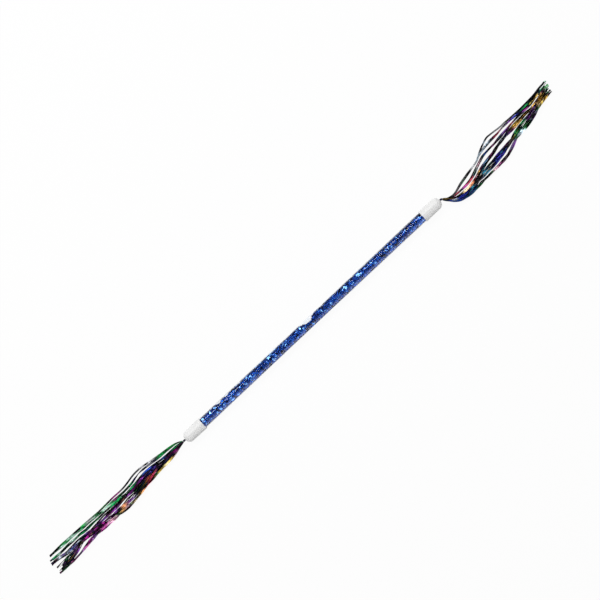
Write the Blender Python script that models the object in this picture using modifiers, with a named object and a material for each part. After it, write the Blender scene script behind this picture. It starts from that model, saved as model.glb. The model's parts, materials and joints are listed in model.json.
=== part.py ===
"""A tinsel baton: a clear tube packed with tinsel garland, a push-on cap at each end, and a tassel of
foil streamers knotted through each cap.

The baton lies on a table along X. The origin is on the table, at the centre of the baton's footprint.
"""

import math

import bmesh
import bpy
from mathutils import Matrix, Vector

MM = 0.001

# Fits and round shapes
FIT_GAP = 0.3 * MM
MERGE_DISTANCE = 0.01 * MM
ROUND_STEPS = 32
KNOT_STEPS = 16

# Clear tube
TUBE_DIAMETER = 13.2 * MM
TUBE_WALL = 0.45 * MM
TUBE_SHOWING = 362.0 * MM

# End caps
CAP_LENGTH = 28.8 * MM
CAP_WALL = 0.9 * MM
CAP_TAPER = 0.35 * MM
CAP_END_WALL = 2.4 * MM
CAP_DOME_LENGTH = 6.5 * MM
CAP_DOME_STEPS = 8
CHAMBER_FILLET = 2.4 * MM
CHAMBER_FILLET_STRETCH = 2.0
CAP_LIP_PROUD = 0.15 * MM
CAP_LIP_LENGTH = 1.6 * MM
CAP_LIP_CHAMFER = 0.3 * MM
STOP_LEDGE = 1.2 * MM

# Tinsel garland: a thread, and a fringe of blades on a thin sleeve round it
THREAD_RADIUS = 0.75 * MM
SLEEVE_WALL = 0.55 * MM
GARLAND_END_GAP = 3.0 * MM
BLADE_PAIRS = 4
BLADE_ROWS = 76
BLADE_TIP_WIDTH = 0.7 * MM
BLADE_TIP_LENGTH = 3.0 * MM
BLADE_LEAN = 1.6 * MM
BLADE_TWIST = math.radians(14.0)

# Knots that hold the tassels in the caps
KNOT_RADIUS = 3.4 * MM
KNOT_LENGTH = 5.6 * MM
KNOT_SLACK = 4.7 * MM
NECK_RADIUS = 1.2 * MM
NECK_BALL_PROUD = 0.15 * MM
PIVOT_CLEARANCE = 0.6 * MM
KNOT_ARC_STEPS = 5

# Foil streamers
STREAMER_WIDTH = 2.2 * MM
STREAMER_THICKNESS = 0.25 * MM
STREAMER_SIDE_GAP = 0.3 * MM
STREAMER_STATIONS = 18
STATION_BIAS = 1.25
ROOT_SHARE = 0.22
ROOT_SIDE_GAP = 0.1 * MM
ROOT_LAYER_GAP = 0.15 * MM
FULL_WIDTH_REACH = 40.0 * MM
LAYER_PITCH = 1.0 * MM
LANDING_REACH = 55.0 * MM
WAVE_LENGTH = 75.0 * MM
WAVE_HEIGHT = 2.5 * MM
SWAY = 2.0 * MM
SWAY_LENGTH = 120.0 * MM
SWAY_SHARES = (0.7, 1.6, 0.9, 0.5, 0.4)
GOLDEN_SHARE = (math.sqrt(5.0) - 1.0) / 2.0
TIP_STAGGER = 1.6 * MM

# How far each tassel turns to the side as it leaves its knot
LEFT_LEAN = 0.0
RIGHT_LEAN = math.radians(-46.0)

# Lanes that the streamers follow, from the lower edge of the tassel to the upper edge. Each point is how
# far it lies beyond the pivot at the cap's end and how far to the side, in millimetres.
RIGHT_LANES = (
    ((0, 0), (3, -4.4), (6, -8.6), (10, -13), (14, -16), (18, -17.7), (26, -19.1), (34, -19.3), (44, -18.7),
     (56, -17.6), (70, -17.1), (84, -17), (96, -15.8), (106, -12.8), (114, -10), (122, -7.9), (134, -5.4),
     (144, -2.7), (158, 0.8), (170, 3.8), (186, 8.3)),
    ((0, 0), (3, -3.8), (6, -7.3), (10, -10.9), (14, -13.3), (18, -14.8), (26, -16.3), (34, -16.7),
     (44, -16.1), (54, -14.8), (64, -13), (76, -11.2), (86, -9.8), (96, -7.8), (106, -5.2), (116, -3.2),
     (126, -2.3), (136, -1.4), (146, 0.2), (158, 2.6), (170, 5.4), (187, 9.4)),
    ((0, 0), (3, -3.3), (6, -6), (10, -8.4), (14, -10.3), (18, -11.4), (26, -12), (34, -11.9), (42, -10.9),
     (50, -9.1), (58, -7.3), (66, -5.5), (76, -3.9), (86, -2.1), (96, 0), (106, 1.9), (116, 3.3), (126, 4.4),
     (136, 5.4), (146, 6.3), (158, 7.1), (170, 8.9), (188, 11.4)),
    ((0, 0), (3, -2.8), (6, -4.9), (10, -6.7), (14, -7.9), (18, -8.3), (26, -8.5), (34, -8.2), (42, -6.9),
     (48, -5.1), (54, -2.9), (60, -0.5), (66, 1.9), (73, 4.1), (80, 5.1), (90, 5.8), (102, 6.3), (114, 7.1),
     (126, 8.1), (138, 8.9), (150, 9.6), (162, 10.5), (174, 12.3), (189, 14.4)),
    ((0, 0), (3, -2.2), (6, -3.9), (10, -5.2), (14, -5.9), (20, -5.4), (28, -3.1), (34, -1.7), (42, -0.2),
     (50, 1.1), (56, 2.1), (62, 3.7), (68, 6.1), (73, 7.8), (80, 9.4), (90, 10.8), (102, 11.9), (114, 13.1),
     (126, 13.1), (136, 12.3), (148, 12.3), (160, 12.7), (170, 14.1), (180, 16.2), (189, 17.2)),
)
RIGHT_STRAY = (
    (0, 0), (3, -2.2), (6, -3.9), (10, -5.2), (14, -5.9), (20, -5.2), (28, -2.7), (34, -1.5), (42, 0),
    (50, 1.3), (56, 2.3), (62, 4), (67, 6.6), (72, 9.8), (80, 13.8), (90, 17.4), (98, 17.1), (108, 16),
    (118, 15.6), (130, 14.6), (142, 13.8), (154, 13.9), (166, 14.6), (178, 16.8), (190, 17.6),
)
LEFT_LANES = (
    ((0, 0), (4, -1.2), (10, -2.4), (18, -3.7), (28, -4.5), (38, -4.9), (48, -5.6), (58, -6.6), (68, -7.5),
     (78, -8.9), (88, -10.1), (96, -11.3), (104, -12.3), (112, -12.1), (122, -10.9), (134, -9.9),
     (148, -9.6), (162, -10.3), (176, -11.7), (190, -13), (204, -13.4), (218, -12.9)),
    ((0, 0), (4, -0.6), (10, -1.3), (18, -2.1), (28, -2.5), (38, -2.7), (48, -3.1), (58, -3.7), (68, -4.5),
     (78, -5.5), (88, -5.9), (100, -5.7), (112, -5.9), (124, -6.3), (136, -6.5), (148, -5.9), (160, -5.7),
     (172, -6.5), (184, -7.9), (198, -8.9), (218, -8.5)),
    ((0, 0), (4, 0.1), (10, 0.2), (18, -0.1), (28, -0.4), (38, -0.1), (48, 0.6), (58, 0.9), (68, 0.1),
     (78, -1.1), (88, -2.1), (100, -2.5), (112, -2.2), (124, -1.6), (136, -1.2), (148, -1.4), (160, -1.2),
     (172, -1.1), (184, -2), (196, -2.2), (207, -1), (218, -0.5)),
    ((0, 0), (4, 1.1), (10, 1.9), (18, 1.8), (28, 1.6), (38, 2.1), (48, 3.2), (58, 4), (66, 3.9), (74, 2.7),
     (82, 1.5), (90, 1.5), (102, 1.9), (116, 2), (130, 2.1), (144, 2.3), (158, 2.6), (172, 3.3), (186, 3.9),
     (200, 3.9), (218, 4.1)),
    ((0, 0), (4, 2.2), (10, 4.2), (18, 5.3), (28, 6), (38, 6.3), (48, 7), (58, 8.1), (66, 8.3), (73, 7.3),
     (80, 5.7), (88, 4.7), (96, 4.6), (104, 5.2), (116, 6), (130, 5.9), (144, 6.5), (158, 6.9), (172, 6.9),
     (186, 7), (198, 7.6), (213, 9)),
)
LEFT_STRAY = (
    (0, 0), (4, 2.5), (10, 4.8), (18, 6.1), (28, 7), (36, 7.7), (44, 8.8), (52, 10.2), (60, 11.6), (68, 12.2),
    (76, 11.7), (86, 10.1), (96, 9.2), (108, 9.4), (120, 8.7), (134, 7.8), (148, 8.1), (164, 8.5), (180, 9.2),
    (196, 10.1), (213, 9.9),
)

# Lanes that each layer of a tassel fills, from the layer on the table up. The last layer's upper lane holds
# the streamer that strays from the rest.
LAYER_LANES = ((0, 1, 2, 3), (0, 1, 2, 4), (1, 2, 3, 4), (0, 1, 2, 3), (0, 1, 2, 4), (1, 2, 3, 4))
STRAY_LAYER = len(LAYER_LANES) - 1
STRAY_LANE = len(RIGHT_LANES) - 1

# Sizes that follow from those above
TUBE_RADIUS = TUBE_DIAMETER / 2
TUBE_BORE = TUBE_RADIUS - TUBE_WALL
CHAMBER_LENGTH = FIT_GAP + KNOT_LENGTH + KNOT_SLACK
SOCKET_DEPTH = CAP_LENGTH - CAP_END_WALL - CHAMBER_LENGTH
TUBE_LENGTH = TUBE_SHOWING + 2 * (SOCKET_DEPTH - FIT_GAP)
SOCKET_RADIUS = TUBE_RADIUS + FIT_GAP
CAP_MOUTH_RADIUS = SOCKET_RADIUS + CAP_WALL
CAP_END_RADIUS = CAP_MOUTH_RADIUS - CAP_TAPER
CAP_LIP_RADIUS = CAP_MOUTH_RADIUS + CAP_LIP_PROUD
CHAMBER_RADIUS = SOCKET_RADIUS - STOP_LEDGE
HOLE_RADIUS = NECK_RADIUS + FIT_GAP
AXIS_HEIGHT = CAP_LIP_RADIUS * math.cos(math.pi / ROUND_STEPS)
CAP_END = TUBE_SHOWING / 2 + CAP_LENGTH
SLEEVE_BORE = THREAD_RADIUS + FIT_GAP
SLEEVE_RADIUS = SLEEVE_BORE + SLEEVE_WALL
BLADE_REACH = TUBE_BORE - FIT_GAP
BLADE_COLUMNS = 2 * BLADE_PAIRS
GARLAND_LENGTH = TUBE_LENGTH - 2 * GARLAND_END_GAP
NECK_BALL_RADIUS = NECK_RADIUS + NECK_BALL_PROUD
PIVOT_OUT = NECK_BALL_RADIUS + PIVOT_CLEARANCE
ROOT_RADIUS = NECK_BALL_RADIUS + FIT_GAP
MIDDLE_LANE = len(RIGHT_LANES) // 2
MIDDLE_LAYER = (len(LAYER_LANES) - 1) / 2

# Finishes: colour, roughness, how metallic and how clear
TUBE_FINISH = ((0.93, 0.96, 0.98), 0.05, 0.0, 1.0)
CAP_FINISH = ((0.86, 0.86, 0.85), 0.35, 0.0, 0.0)
TINSEL_FINISH = ((0.02, 0.09, 0.42), 0.2, 1.0, 0.0)
THREAD_FINISH = ((0.05, 0.10, 0.30), 0.8, 0.0, 0.0)
KNOT_FINISH = ((0.05, 0.05, 0.07), 0.4, 0.6, 0.0)
FOIL_SHINE = (0.25, 0.9, 0.0)
FOIL_COLOURS = (
    (0.03, 0.06, 0.35), (0.03, 0.03, 0.04), (0.70, 0.32, 0.06), (0.45, 0.05, 0.22), (0.04, 0.30, 0.14),
    (0.20, 0.07, 0.35), (0.05, 0.25, 0.35), (0.75, 0.60, 0.12),
)


def clear_objects():
    """Remove whatever objects the scene holds."""
    for old in list(bpy.data.objects):
        bpy.data.objects.remove(old, do_unlink=True)


def new_collection(name):
    """Add a collection to the scene."""
    collection = bpy.data.collections.new(name)
    bpy.context.scene.collection.children.link(collection)
    return collection


def new_material(name, finish):
    """Make a plain material in one colour."""
    colour, roughness, metallic, clearness = finish
    material = bpy.data.materials.new(name)
    material.use_nodes = True
    shader = material.node_tree.nodes["Principled BSDF"]
    shader.inputs["Base Color"].default_value = (*colour, 1.0)
    shader.inputs["Roughness"].default_value = roughness
    shader.inputs["Metallic"].default_value = metallic
    shader.inputs["Transmission Weight"].default_value = clearness
    material.diffuse_color = (*colour, 1.0)
    return material


def new_object(name, data, collection, parent, material=None):
    """Put data in the scene as an object under a parent."""
    thing = bpy.data.objects.new(name, data)
    collection.objects.link(thing)
    thing.parent = parent
    if material is not None:
        data.materials.append(material)
    return thing


def new_pivot(name, location, collection, parent=None):
    """Add an empty that others hang from."""
    pivot = new_object(name, None, collection, parent)
    pivot.empty_display_size = TUBE_DIAMETER
    pivot.location = location
    return pivot


def arc_points(centre, radii, start, end, steps):
    """Points along an elliptical arc in the profile plane, both ends included."""
    angles = [start + (end - start) * step / steps for step in range(steps + 1)]
    return [(centre[0] + radii[0] * math.cos(a), centre[1] + radii[1] * math.sin(a)) for a in angles]


def turned(name, profile, closed, steps, collection, parent, material):
    """Spin a profile of (radius, height) points, running down its outer side, round its own Z axis."""
    mesh = bpy.data.meshes.new(name)
    outline = bmesh.new()
    corners = [outline.verts.new((radius, 0.0, height)) for radius, height in profile]
    followers = corners[1:] + corners[:1] if closed else corners[1:]
    for corner, follower in zip(corners, followers):
        outline.edges.new((corner, follower))
    outline.to_mesh(mesh)
    outline.free()
    thing = new_object(name, mesh, collection, parent, material)
    screw = thing.modifiers.new("turn", "SCREW")
    screw.steps = steps
    screw.render_steps = steps
    screw.use_merge_vertices = True
    screw.merge_threshold = MERGE_DISTANCE
    screw.use_smooth_shade = True
    return thing


def lay_along_x(thing, direction, steps):
    """Lay a turned piece on its side, its Z axis towards +X or -X, with a flat of its rim facing down."""
    thing.rotation_mode = "ZYX"
    thing.rotation_euler = (0.0, direction * math.pi / 2, math.pi / steps)


def tube_profile():
    """Section of the clear tube's wall."""
    half = TUBE_LENGTH / 2
    return [(TUBE_RADIUS, half), (TUBE_RADIUS, -half), (TUBE_BORE, -half), (TUBE_BORE, half)]


def cap_profile():
    """Section of a cap: its mouth at height 0, its holed dome at the top."""
    floor = CAP_LENGTH - CAP_END_WALL
    dome_centre = (0.0, CAP_LENGTH - CAP_DOME_LENGTH)
    dome_radii = (CAP_END_RADIUS, CAP_DOME_LENGTH)
    dome = arc_points(dome_centre, dome_radii, math.acos(HOLE_RADIUS / CAP_END_RADIUS), 0.0, CAP_DOME_STEPS)
    outside = [
        (CAP_MOUTH_RADIUS, CAP_LIP_LENGTH + CAP_LIP_PROUD),
        (CAP_LIP_RADIUS, CAP_LIP_LENGTH),
        (CAP_LIP_RADIUS, CAP_LIP_CHAMFER),
        (CAP_LIP_RADIUS - CAP_LIP_CHAMFER, 0.0),
    ]
    inside = [(SOCKET_RADIUS, 0.0), (SOCKET_RADIUS, SOCKET_DEPTH), (CHAMBER_RADIUS, SOCKET_DEPTH)]
    round_floor = min(CHAMBER_FILLET, CHAMBER_RADIUS - KNOT_RADIUS)
    floor_radii = (round_floor, CHAMBER_FILLET_STRETCH * round_floor)
    floor_centre = (CHAMBER_RADIUS - floor_radii[0], floor - floor_radii[1])
    floor_fillet = arc_points(floor_centre, floor_radii, 0.0, math.pi / 2, CAP_DOME_STEPS // 2)
    return dome + outside + inside + floor_fillet + [(HOLE_RADIUS, floor)]


def knot_profile():
    """Half section of a knot: the ball that carries the streamers at height 0, its neck and the knot."""
    seat = -PIVOT_OUT - CAP_END_WALL - FIT_GAP
    neck_angle = -math.acos(NECK_RADIUS / NECK_BALL_RADIUS)
    ball_radii = (NECK_BALL_RADIUS, NECK_BALL_RADIUS)
    ball = arc_points((0.0, 0.0), ball_radii, math.pi / 2, neck_angle, KNOT_ARC_STEPS)
    ball[0] = (0.0, NECK_BALL_RADIUS)
    knot_radii = (KNOT_RADIUS, KNOT_LENGTH / 2)
    shoulder_angle = math.acos(NECK_RADIUS / KNOT_RADIUS)
    knot_centre = (0.0, seat - KNOT_LENGTH / 2)
    knot = arc_points(knot_centre, knot_radii, shoulder_angle, -math.pi / 2, KNOT_ARC_STEPS + 1)
    knot[-1] = (0.0, seat - KNOT_LENGTH)
    return ball + knot


def build_tube(collection, parent):
    """Make the clear tube."""
    material = new_material("clear_tube", TUBE_FINISH)
    tube = turned("clear_tube", tube_profile(), True, ROUND_STEPS, collection, parent, material)
    lay_along_x(tube, 1, ROUND_STEPS)


def build_garland_thread(collection, parent):
    """Make the thread that runs down the middle of the garland."""
    material = new_material("garland_thread", THREAD_FINISH)
    curve = bpy.data.curves.new("garland_thread", "CURVE")
    curve.dimensions = "3D"
    curve.bevel_depth = THREAD_RADIUS
    curve.bevel_resolution = 2
    curve.use_fill_caps = True
    spline = curve.splines.new("POLY")
    spline.points.add(1)
    for point, end in zip(spline.points, (-1, 1)):
        point.co = (end * GARLAND_LENGTH / 2, 0.0, 0.0, 1.0)
    new_object("garland_thread", curve, collection, parent, material)


def spun_sleeve(shape):
    """Spin the section of the sleeve, its outer side cut into rows, and return the faces of that side."""
    half = GARLAND_LENGTH / 2
    heights = [half - GARLAND_LENGTH * row / BLADE_ROWS for row in range(BLADE_ROWS + 1)]
    section = [(SLEEVE_RADIUS, height) for height in heights] + [(SLEEVE_BORE, -half), (SLEEVE_BORE, half)]
    corners = [shape.verts.new((radius, 0.0, height)) for radius, height in section]
    edges = [shape.edges.new(pair) for pair in zip(corners, corners[1:] + corners[:1])]
    bmesh.ops.spin(
        shape, geom=corners + edges, axis=(0.0, 0.0, 1.0), cent=(0.0, 0.0, 0.0), angle=math.tau,
        steps=BLADE_COLUMNS, use_merge=True
    )
    bmesh.ops.recalc_face_normals(shape, faces=shape.faces)
    middle = (SLEEVE_BORE + SLEEVE_RADIUS) / 2
    return [face for face in shape.faces if all(corner.co.xy.length > middle for corner in face.verts)]


def shape_blade(tip):
    """Draw a raised face out to the tube, narrowed, twisted and leaning, as the tip of a blade."""
    centre = tip.calc_center_median()
    around = math.atan2(centre.y, centre.x)
    to_blade = Matrix.Rotation(-around, 4, "Z") @ Matrix.Translation((0.0, 0.0, -centre.z))
    from_blade = to_blade.inverted()
    corners = [to_blade @ corner.co for corner in tip.verts]
    half_width = max(corner.y for corner in corners)
    half_length = max(corner.z for corner in corners)
    edge_reach = math.sqrt(BLADE_REACH**2 - (BLADE_TIP_WIDTH / 2) ** 2)
    twist = Matrix.Rotation(BLADE_TWIST, 4, "X")
    for corner, place in zip(tip.verts, corners):
        side = place.y / half_width * BLADE_TIP_WIDTH / 2
        along = place.z / half_length * BLADE_TIP_LENGTH / 2
        flat = twist @ Vector((0.0, side, along))
        corner.co = from_blade @ Vector((edge_reach - abs(flat.y) / 2, flat.y, flat.z + BLADE_LEAN))


def build_tinsel_fringe(collection, parent):
    """Make the fringe: blades raised from every other face of a sleeve, so that they wind round it."""
    material = new_material("tinsel_fringe", TINSEL_FINISH)
    shape = bmesh.new()
    outer = spun_sleeve(shape)
    row_pitch = GARLAND_LENGTH / BLADE_ROWS
    raised = []
    for face in outer:
        centre = face.calc_center_median()
        row = math.floor((centre.z + GARLAND_LENGTH / 2) / row_pitch)
        column = math.floor((math.atan2(centre.y, centre.x) / math.tau + 0.5) * BLADE_COLUMNS)
        if (row + column) % 2 == 0:
            raised.append(face)
    made = bmesh.ops.extrude_discrete_faces(shape, faces=raised)
    for tip in made["faces"]:
        shape_blade(tip)
    mesh = bpy.data.meshes.new("tinsel_fringe")
    shape.to_mesh(mesh)
    shape.free()
    fringe = new_object("tinsel_fringe", mesh, collection, parent, material)
    fringe.rotation_euler = (0.0, math.pi / 2, 0.0)


def build_cap(side, direction, collection, parent):
    """Make an end cap, pushed onto the tube."""
    material = new_material(f"{side}_cap", CAP_FINISH)
    cap = turned(f"{side}_cap", cap_profile(), True, ROUND_STEPS, collection, parent, material)
    lay_along_x(cap, direction, ROUND_STEPS)
    cap.location.x = direction * TUBE_SHOWING / 2


def build_knot(side, direction, collection, parent):
    """Make the knot that turns in a cap, with its origin on the pivot that the tassel swings on."""
    material = new_material(f"{side}_knot", KNOT_FINISH)
    knot = turned(f"{side}_knot", knot_profile(), False, KNOT_STEPS, collection, parent, material)
    lay_along_x(knot, direction, KNOT_STEPS)


def smooth_step(share):
    """Ease from 0 to 1 as the share goes from 0 to 1."""
    share = min(max(share, 0.0), 1.0)
    return share * share * (3.0 - 2.0 * share)


def side_at(lane, reach):
    """How far a lane lies to the side at a reach, on a smooth curve through its points."""
    last = len(lane) - 1
    index = next((i for i in range(last) if reach <= lane[i + 1][0] * MM), last - 1)

    def slope(i):
        before, after = lane[max(i - 1, 0)], lane[min(i + 1, last)]
        return (after[1] - before[1]) / (after[0] - before[0])

    (reach_a, side_a), (reach_b, side_b) = lane[index], lane[index + 1]
    span = (reach_b - reach_a) * MM
    t = (reach - reach_a * MM) / span
    bend = span * ((t**3 - 2 * t**2 + t) * slope(index) + (t**3 - t**2) * slope(index + 1))
    rise = smooth_step(t) if 0.0 <= t <= 1.0 else t
    return bend + (side_a + (side_b - side_a) * rise) * MM


def width_share(reach):
    """Share of its full width that a streamer has: it is gathered where it leaves the knot."""
    return ROOT_SHARE + (1.0 - ROOT_SHARE) * smooth_step(reach / FULL_WIDTH_REACH)


def swayed_sides(lanes, layer, reach):
    """Side offset at a reach of each lane that a layer fills, with a slow sway of its own."""
    loose = smooth_step(reach / LANDING_REACH)
    sides = {}
    for lane in LAYER_LANES[layer]:
        turn = math.tau * (reach / SWAY_LENGTH + GOLDEN_SHARE * (layer * len(lanes) + lane))
        sides[lane] = side_at(lanes[lane], reach) + SWAY * SWAY_SHARES[lane] * loose * math.sin(turn)
    return sides


def settled_sides(lanes, layer, reach):
    """Those side offsets, moved apart from the middle lane outwards so that the streamers lie clear."""
    sides = swayed_sides(lanes, layer, reach)
    ahead = swayed_sides(lanes, layer, reach + MM)
    steepest = max(abs(ahead[lane] - sides[lane]) / MM for lane in sides)
    share = width_share(reach)
    gap = ROOT_SIDE_GAP + (STREAMER_SIDE_GAP - ROOT_SIDE_GAP) * share
    room = (STREAMER_WIDTH * share + gap) * math.hypot(1.0, steepest)
    upper = [lane for lane in LAYER_LANES[layer] if lane >= MIDDLE_LANE]
    lower = [lane for lane in reversed(LAYER_LANES[layer]) if lane <= MIDDLE_LANE]
    for inner, outer in zip(upper, upper[1:]):
        sides[outer] = max(sides[outer], sides[inner] + room)
    for inner, outer in zip(lower, lower[1:]):
        sides[outer] = min(sides[outer], sides[inner] - room)
    return sides


def layer_height(layer, reach):
    """Height of a layer's middle: it falls from the knot to the table, then rises and falls in waves."""
    root_pitch = STREAMER_THICKNESS * ROOT_SHARE + ROOT_LAYER_GAP
    root = AXIS_HEIGHT + (layer - MIDDLE_LAYER) * root_pitch
    rest = STREAMER_THICKNESS / 2 + layer * LAYER_PITCH
    past = max(reach - LANDING_REACH, 0.0)
    wave = WAVE_HEIGHT * (1.0 - math.cos(math.tau * past / WAVE_LENGTH)) / 2.0
    return root + (rest - root) * smooth_step(reach / LANDING_REACH) + wave


def root_point(lane, layer, lean):
    """Where a streamer starts, on the ball at the neck's end: reach past the pivot, side and rise."""
    width = STREAMER_WIDTH * ROOT_SHARE
    thickness = STREAMER_THICKNESS * ROOT_SHARE
    aside = (lane - MIDDLE_LANE) * (width + ROOT_SIDE_GAP)
    rise = (layer - MIDDLE_LAYER) * (thickness + ROOT_LAYER_GAP)
    near_side = max(abs(aside) - width / 2, 0.0)
    near_rise = max(abs(rise) - thickness / 2, 0.0)
    ahead = math.sqrt(ROOT_RADIUS**2 - near_side**2 - near_rise**2)
    reach, side = Matrix.Rotation(lean, 2) @ Vector((ahead, aside))
    return reach, side, rise


def streamer_points(lanes, lane, layer, direction, lean):
    """Points of one streamer from its pivot, with the share of full width at each."""
    shortest = min(route[-1][0] for route in lanes) * MM - len(LAYER_LANES) * TIP_STAGGER
    root_reach, root_side, root_rise = root_point(lane, layer, lean)
    points = [(direction * root_reach, root_side, root_rise, ROOT_SHARE)]
    shares = [(station / STREAMER_STATIONS) ** STATION_BIAS for station in range(1, STREAMER_STATIONS)]
    tip = lanes[lane][-1][0] * MM - TIP_STAGGER * ((layer * 2 + lane) % len(LAYER_LANES))
    for reach in [shortest * share for share in shares] + [tip]:
        side = settled_sides(lanes, layer, reach)[lane]
        height = layer_height(layer, reach) - AXIS_HEIGHT
        points.append((direction * reach, side, height, width_share(reach)))
    return points


def streamer_section(guides):
    """Make the guide that gives every streamer its flat section."""
    curve = bpy.data.curves.new("streamer_section", "CURVE")
    curve.dimensions = "2D"
    spline = curve.splines.new("POLY")
    spline.points.add(3)
    for point, (across, up) in zip(spline.points, ((-1, -1), (-1, 1), (1, 1), (1, -1))):
        point.co = (across * STREAMER_WIDTH / 2, up * STREAMER_THICKNESS / 2, 0.0, 1.0)
    spline.use_cyclic_u = True
    section = new_object("streamer_section", curve, guides, None)
    section.hide_render = True
    section.display_type = "WIRE"
    return section


def build_streamer(name, points, section, colour, collection, parent):
    """Make one foil streamer as a flat section swept along its points."""
    material = new_material(name, (colour, *FOIL_SHINE))
    curve = bpy.data.curves.new(name, "CURVE")
    curve.dimensions = "3D"
    curve.twist_mode = "Z_UP"
    curve.bevel_mode = "OBJECT"
    curve.bevel_object = section
    curve.use_fill_caps = True
    spline = curve.splines.new("POLY")
    spline.points.add(len(points) - 1)
    for point, (x, y, z, share) in zip(spline.points, points):
        point.co = (x, y, z, 1.0)
        point.radius = share
    new_object(name, curve, collection, parent, material)


def build_tassel(side, direction, lanes, stray, lean, section, collection, parent):
    """Make the streamers of one tassel, hung on the pivot at the end of the knot's neck."""
    number = 0
    for layer, filled in enumerate(LAYER_LANES):
        for lane in filled:
            number += 1
            routes = list(lanes)
            if (layer, lane) == (STRAY_LAYER, STRAY_LANE):
                routes[lane] = stray
            points = streamer_points(routes, lane, layer, direction, lean)
            colour = FOIL_COLOURS[(layer + 3 * lane) % len(FOIL_COLOURS)]
            build_streamer(f"{side}_streamer_{number:02d}", points, section, colour, collection, parent)


def centre_on_footprint(axis, collection):
    """Move the baton so that the origin is at the centre of the ground it covers."""
    bpy.context.view_layer.update()
    seen = bpy.context.evaluated_depsgraph_get()
    corners = []
    for thing in collection.objects:
        if thing.type != "EMPTY":
            shown = thing.evaluated_get(seen)
            mesh = shown.to_mesh()
            corners += [thing.matrix_world @ vert.co for vert in mesh.vertices]
            shown.to_mesh_clear()
    for way in (0, 1):
        across = [corner[way] for corner in corners]
        axis.location[way] -= (min(across) + max(across)) / 2
    bpy.context.view_layer.update()


def main():
    """Build the baton."""
    clear_objects()
    collection = new_collection("tinsel_baton")
    guides = new_collection("tinsel_baton_guides")
    axis = new_pivot("baton_axis", (0.0, 0.0, AXIS_HEIGHT), collection)
    section = streamer_section(guides)
    build_tube(collection, axis)
    build_garland_thread(collection, axis)
    build_tinsel_fringe(collection, axis)
    ends = (
        ("left", -1, LEFT_LANES, LEFT_STRAY, LEFT_LEAN),
        ("right", 1, RIGHT_LANES, RIGHT_STRAY, RIGHT_LEAN),
    )
    for side, direction, lanes, stray, lean in ends:
        build_cap(side, direction, collection, axis)
        place = (direction * (CAP_END + PIVOT_OUT), 0.0, 0.0)
        knot_pivot = new_pivot(f"{side}_knot_pivot", place, collection, axis)
        build_knot(side, direction, collection, knot_pivot)
        tassel_pivot = new_pivot(f"{side}_tassel_pivot", (0.0, 0.0, 0.0), collection, knot_pivot)
        build_tassel(side, direction, lanes, stray, lean, section, collection, tassel_pivot)
    centre_on_footprint(axis, collection)
    for name in ("left_tassel_pivot", "right_tassel_pivot"):
        print(name, [round(value, 6) for value in bpy.data.objects[name].matrix_world.translation])


main()
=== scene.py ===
"""Looks of the tinsel baton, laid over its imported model.

A clear tube packed with blue tinsel garland, a white cap pushed onto each end, and a tassel of rainbow
foil strips knotted through each cap. Lengths are in metres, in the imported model's frame: the baton lies
along X, on a floor at Z = 0.
"""

import json
import logging
import math
import random
from dataclasses import dataclass
from enum import Enum

import bmesh
import bpy
from mathutils import Matrix, Vector, noise


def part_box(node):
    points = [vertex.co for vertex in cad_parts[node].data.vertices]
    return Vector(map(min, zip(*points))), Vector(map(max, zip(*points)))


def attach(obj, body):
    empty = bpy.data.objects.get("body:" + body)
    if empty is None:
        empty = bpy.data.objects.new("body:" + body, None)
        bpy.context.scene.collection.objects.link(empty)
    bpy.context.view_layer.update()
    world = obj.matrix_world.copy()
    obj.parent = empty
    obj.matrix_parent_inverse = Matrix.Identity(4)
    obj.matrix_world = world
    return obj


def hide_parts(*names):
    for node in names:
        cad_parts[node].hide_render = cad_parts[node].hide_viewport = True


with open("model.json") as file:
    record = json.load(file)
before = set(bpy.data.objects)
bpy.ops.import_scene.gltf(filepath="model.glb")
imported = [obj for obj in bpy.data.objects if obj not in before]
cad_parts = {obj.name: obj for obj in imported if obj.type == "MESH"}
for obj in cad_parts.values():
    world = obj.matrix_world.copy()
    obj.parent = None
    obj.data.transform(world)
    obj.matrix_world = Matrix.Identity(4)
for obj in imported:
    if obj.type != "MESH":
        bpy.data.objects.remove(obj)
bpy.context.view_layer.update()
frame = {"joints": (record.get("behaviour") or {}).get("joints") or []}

MM = 0.001
LOG = logging.getLogger("tinsel_baton")

Pair = tuple[float, float]
Colour = tuple[float, float, float]
Section = list[tuple[float, float, float]]
Stops = tuple[tuple[float, Colour], ...]
Route = tuple[Pair, ...]
Socket = bpy.types.NodeSocket
Shape = bmesh.types.BMesh


class End(Enum):
    """The two ends of the baton, with the way each faces along X."""

    LEFT = -1
    RIGHT = 1

    @property
    def word(self) -> str:
        """The end's name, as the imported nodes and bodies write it."""
        return self.name.lower()


class Hue(Enum):
    """Colours that the rainbow film runs through, as linear red, green and blue, those with a slot first;
    black along the strips is painted dark reflection, and the pale hues are painted glints.
    """

    NAVY = (0.012, 0.014, 0.160)
    # Black along the strips is painted dark reflection.
    BLACK = (0.006, 0.006, 0.008)
    ORANGE = (0.900, 0.370, 0.150)
    MAGENTA = (0.420, 0.016, 0.280)
    GREEN = (0.014, 0.380, 0.070)
    VIOLET = (0.190, 0.040, 0.300)
    TEAL = (0.024, 0.190, 0.280)
    GOLD = (0.900, 0.560, 0.090)
    BLUE = (0.024, 0.045, 0.500)
    RED = (0.400, 0.024, 0.040)
    PINK = (0.860, 0.480, 0.620)
    # The pale hues are painted glints.
    PALE_GOLD = (0.980, 0.780, 0.400)
    PALE_GREEN = (0.580, 0.930, 0.740)
    PALE_BLUE = (0.660, 0.800, 0.920)
    SILVER = (0.500, 0.510, 0.540)
    ASH = (0.160, 0.162, 0.170)

    @property
    def slot(self) -> str:
        """Material slot that is named for the hue."""
        return f"foil_{self.name.lower()}"


SLOT_COUNT = 8
SLOT_HUES = tuple(Hue)[:SLOT_COUNT]
Bands = tuple[tuple[float, Hue], ...]


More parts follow.
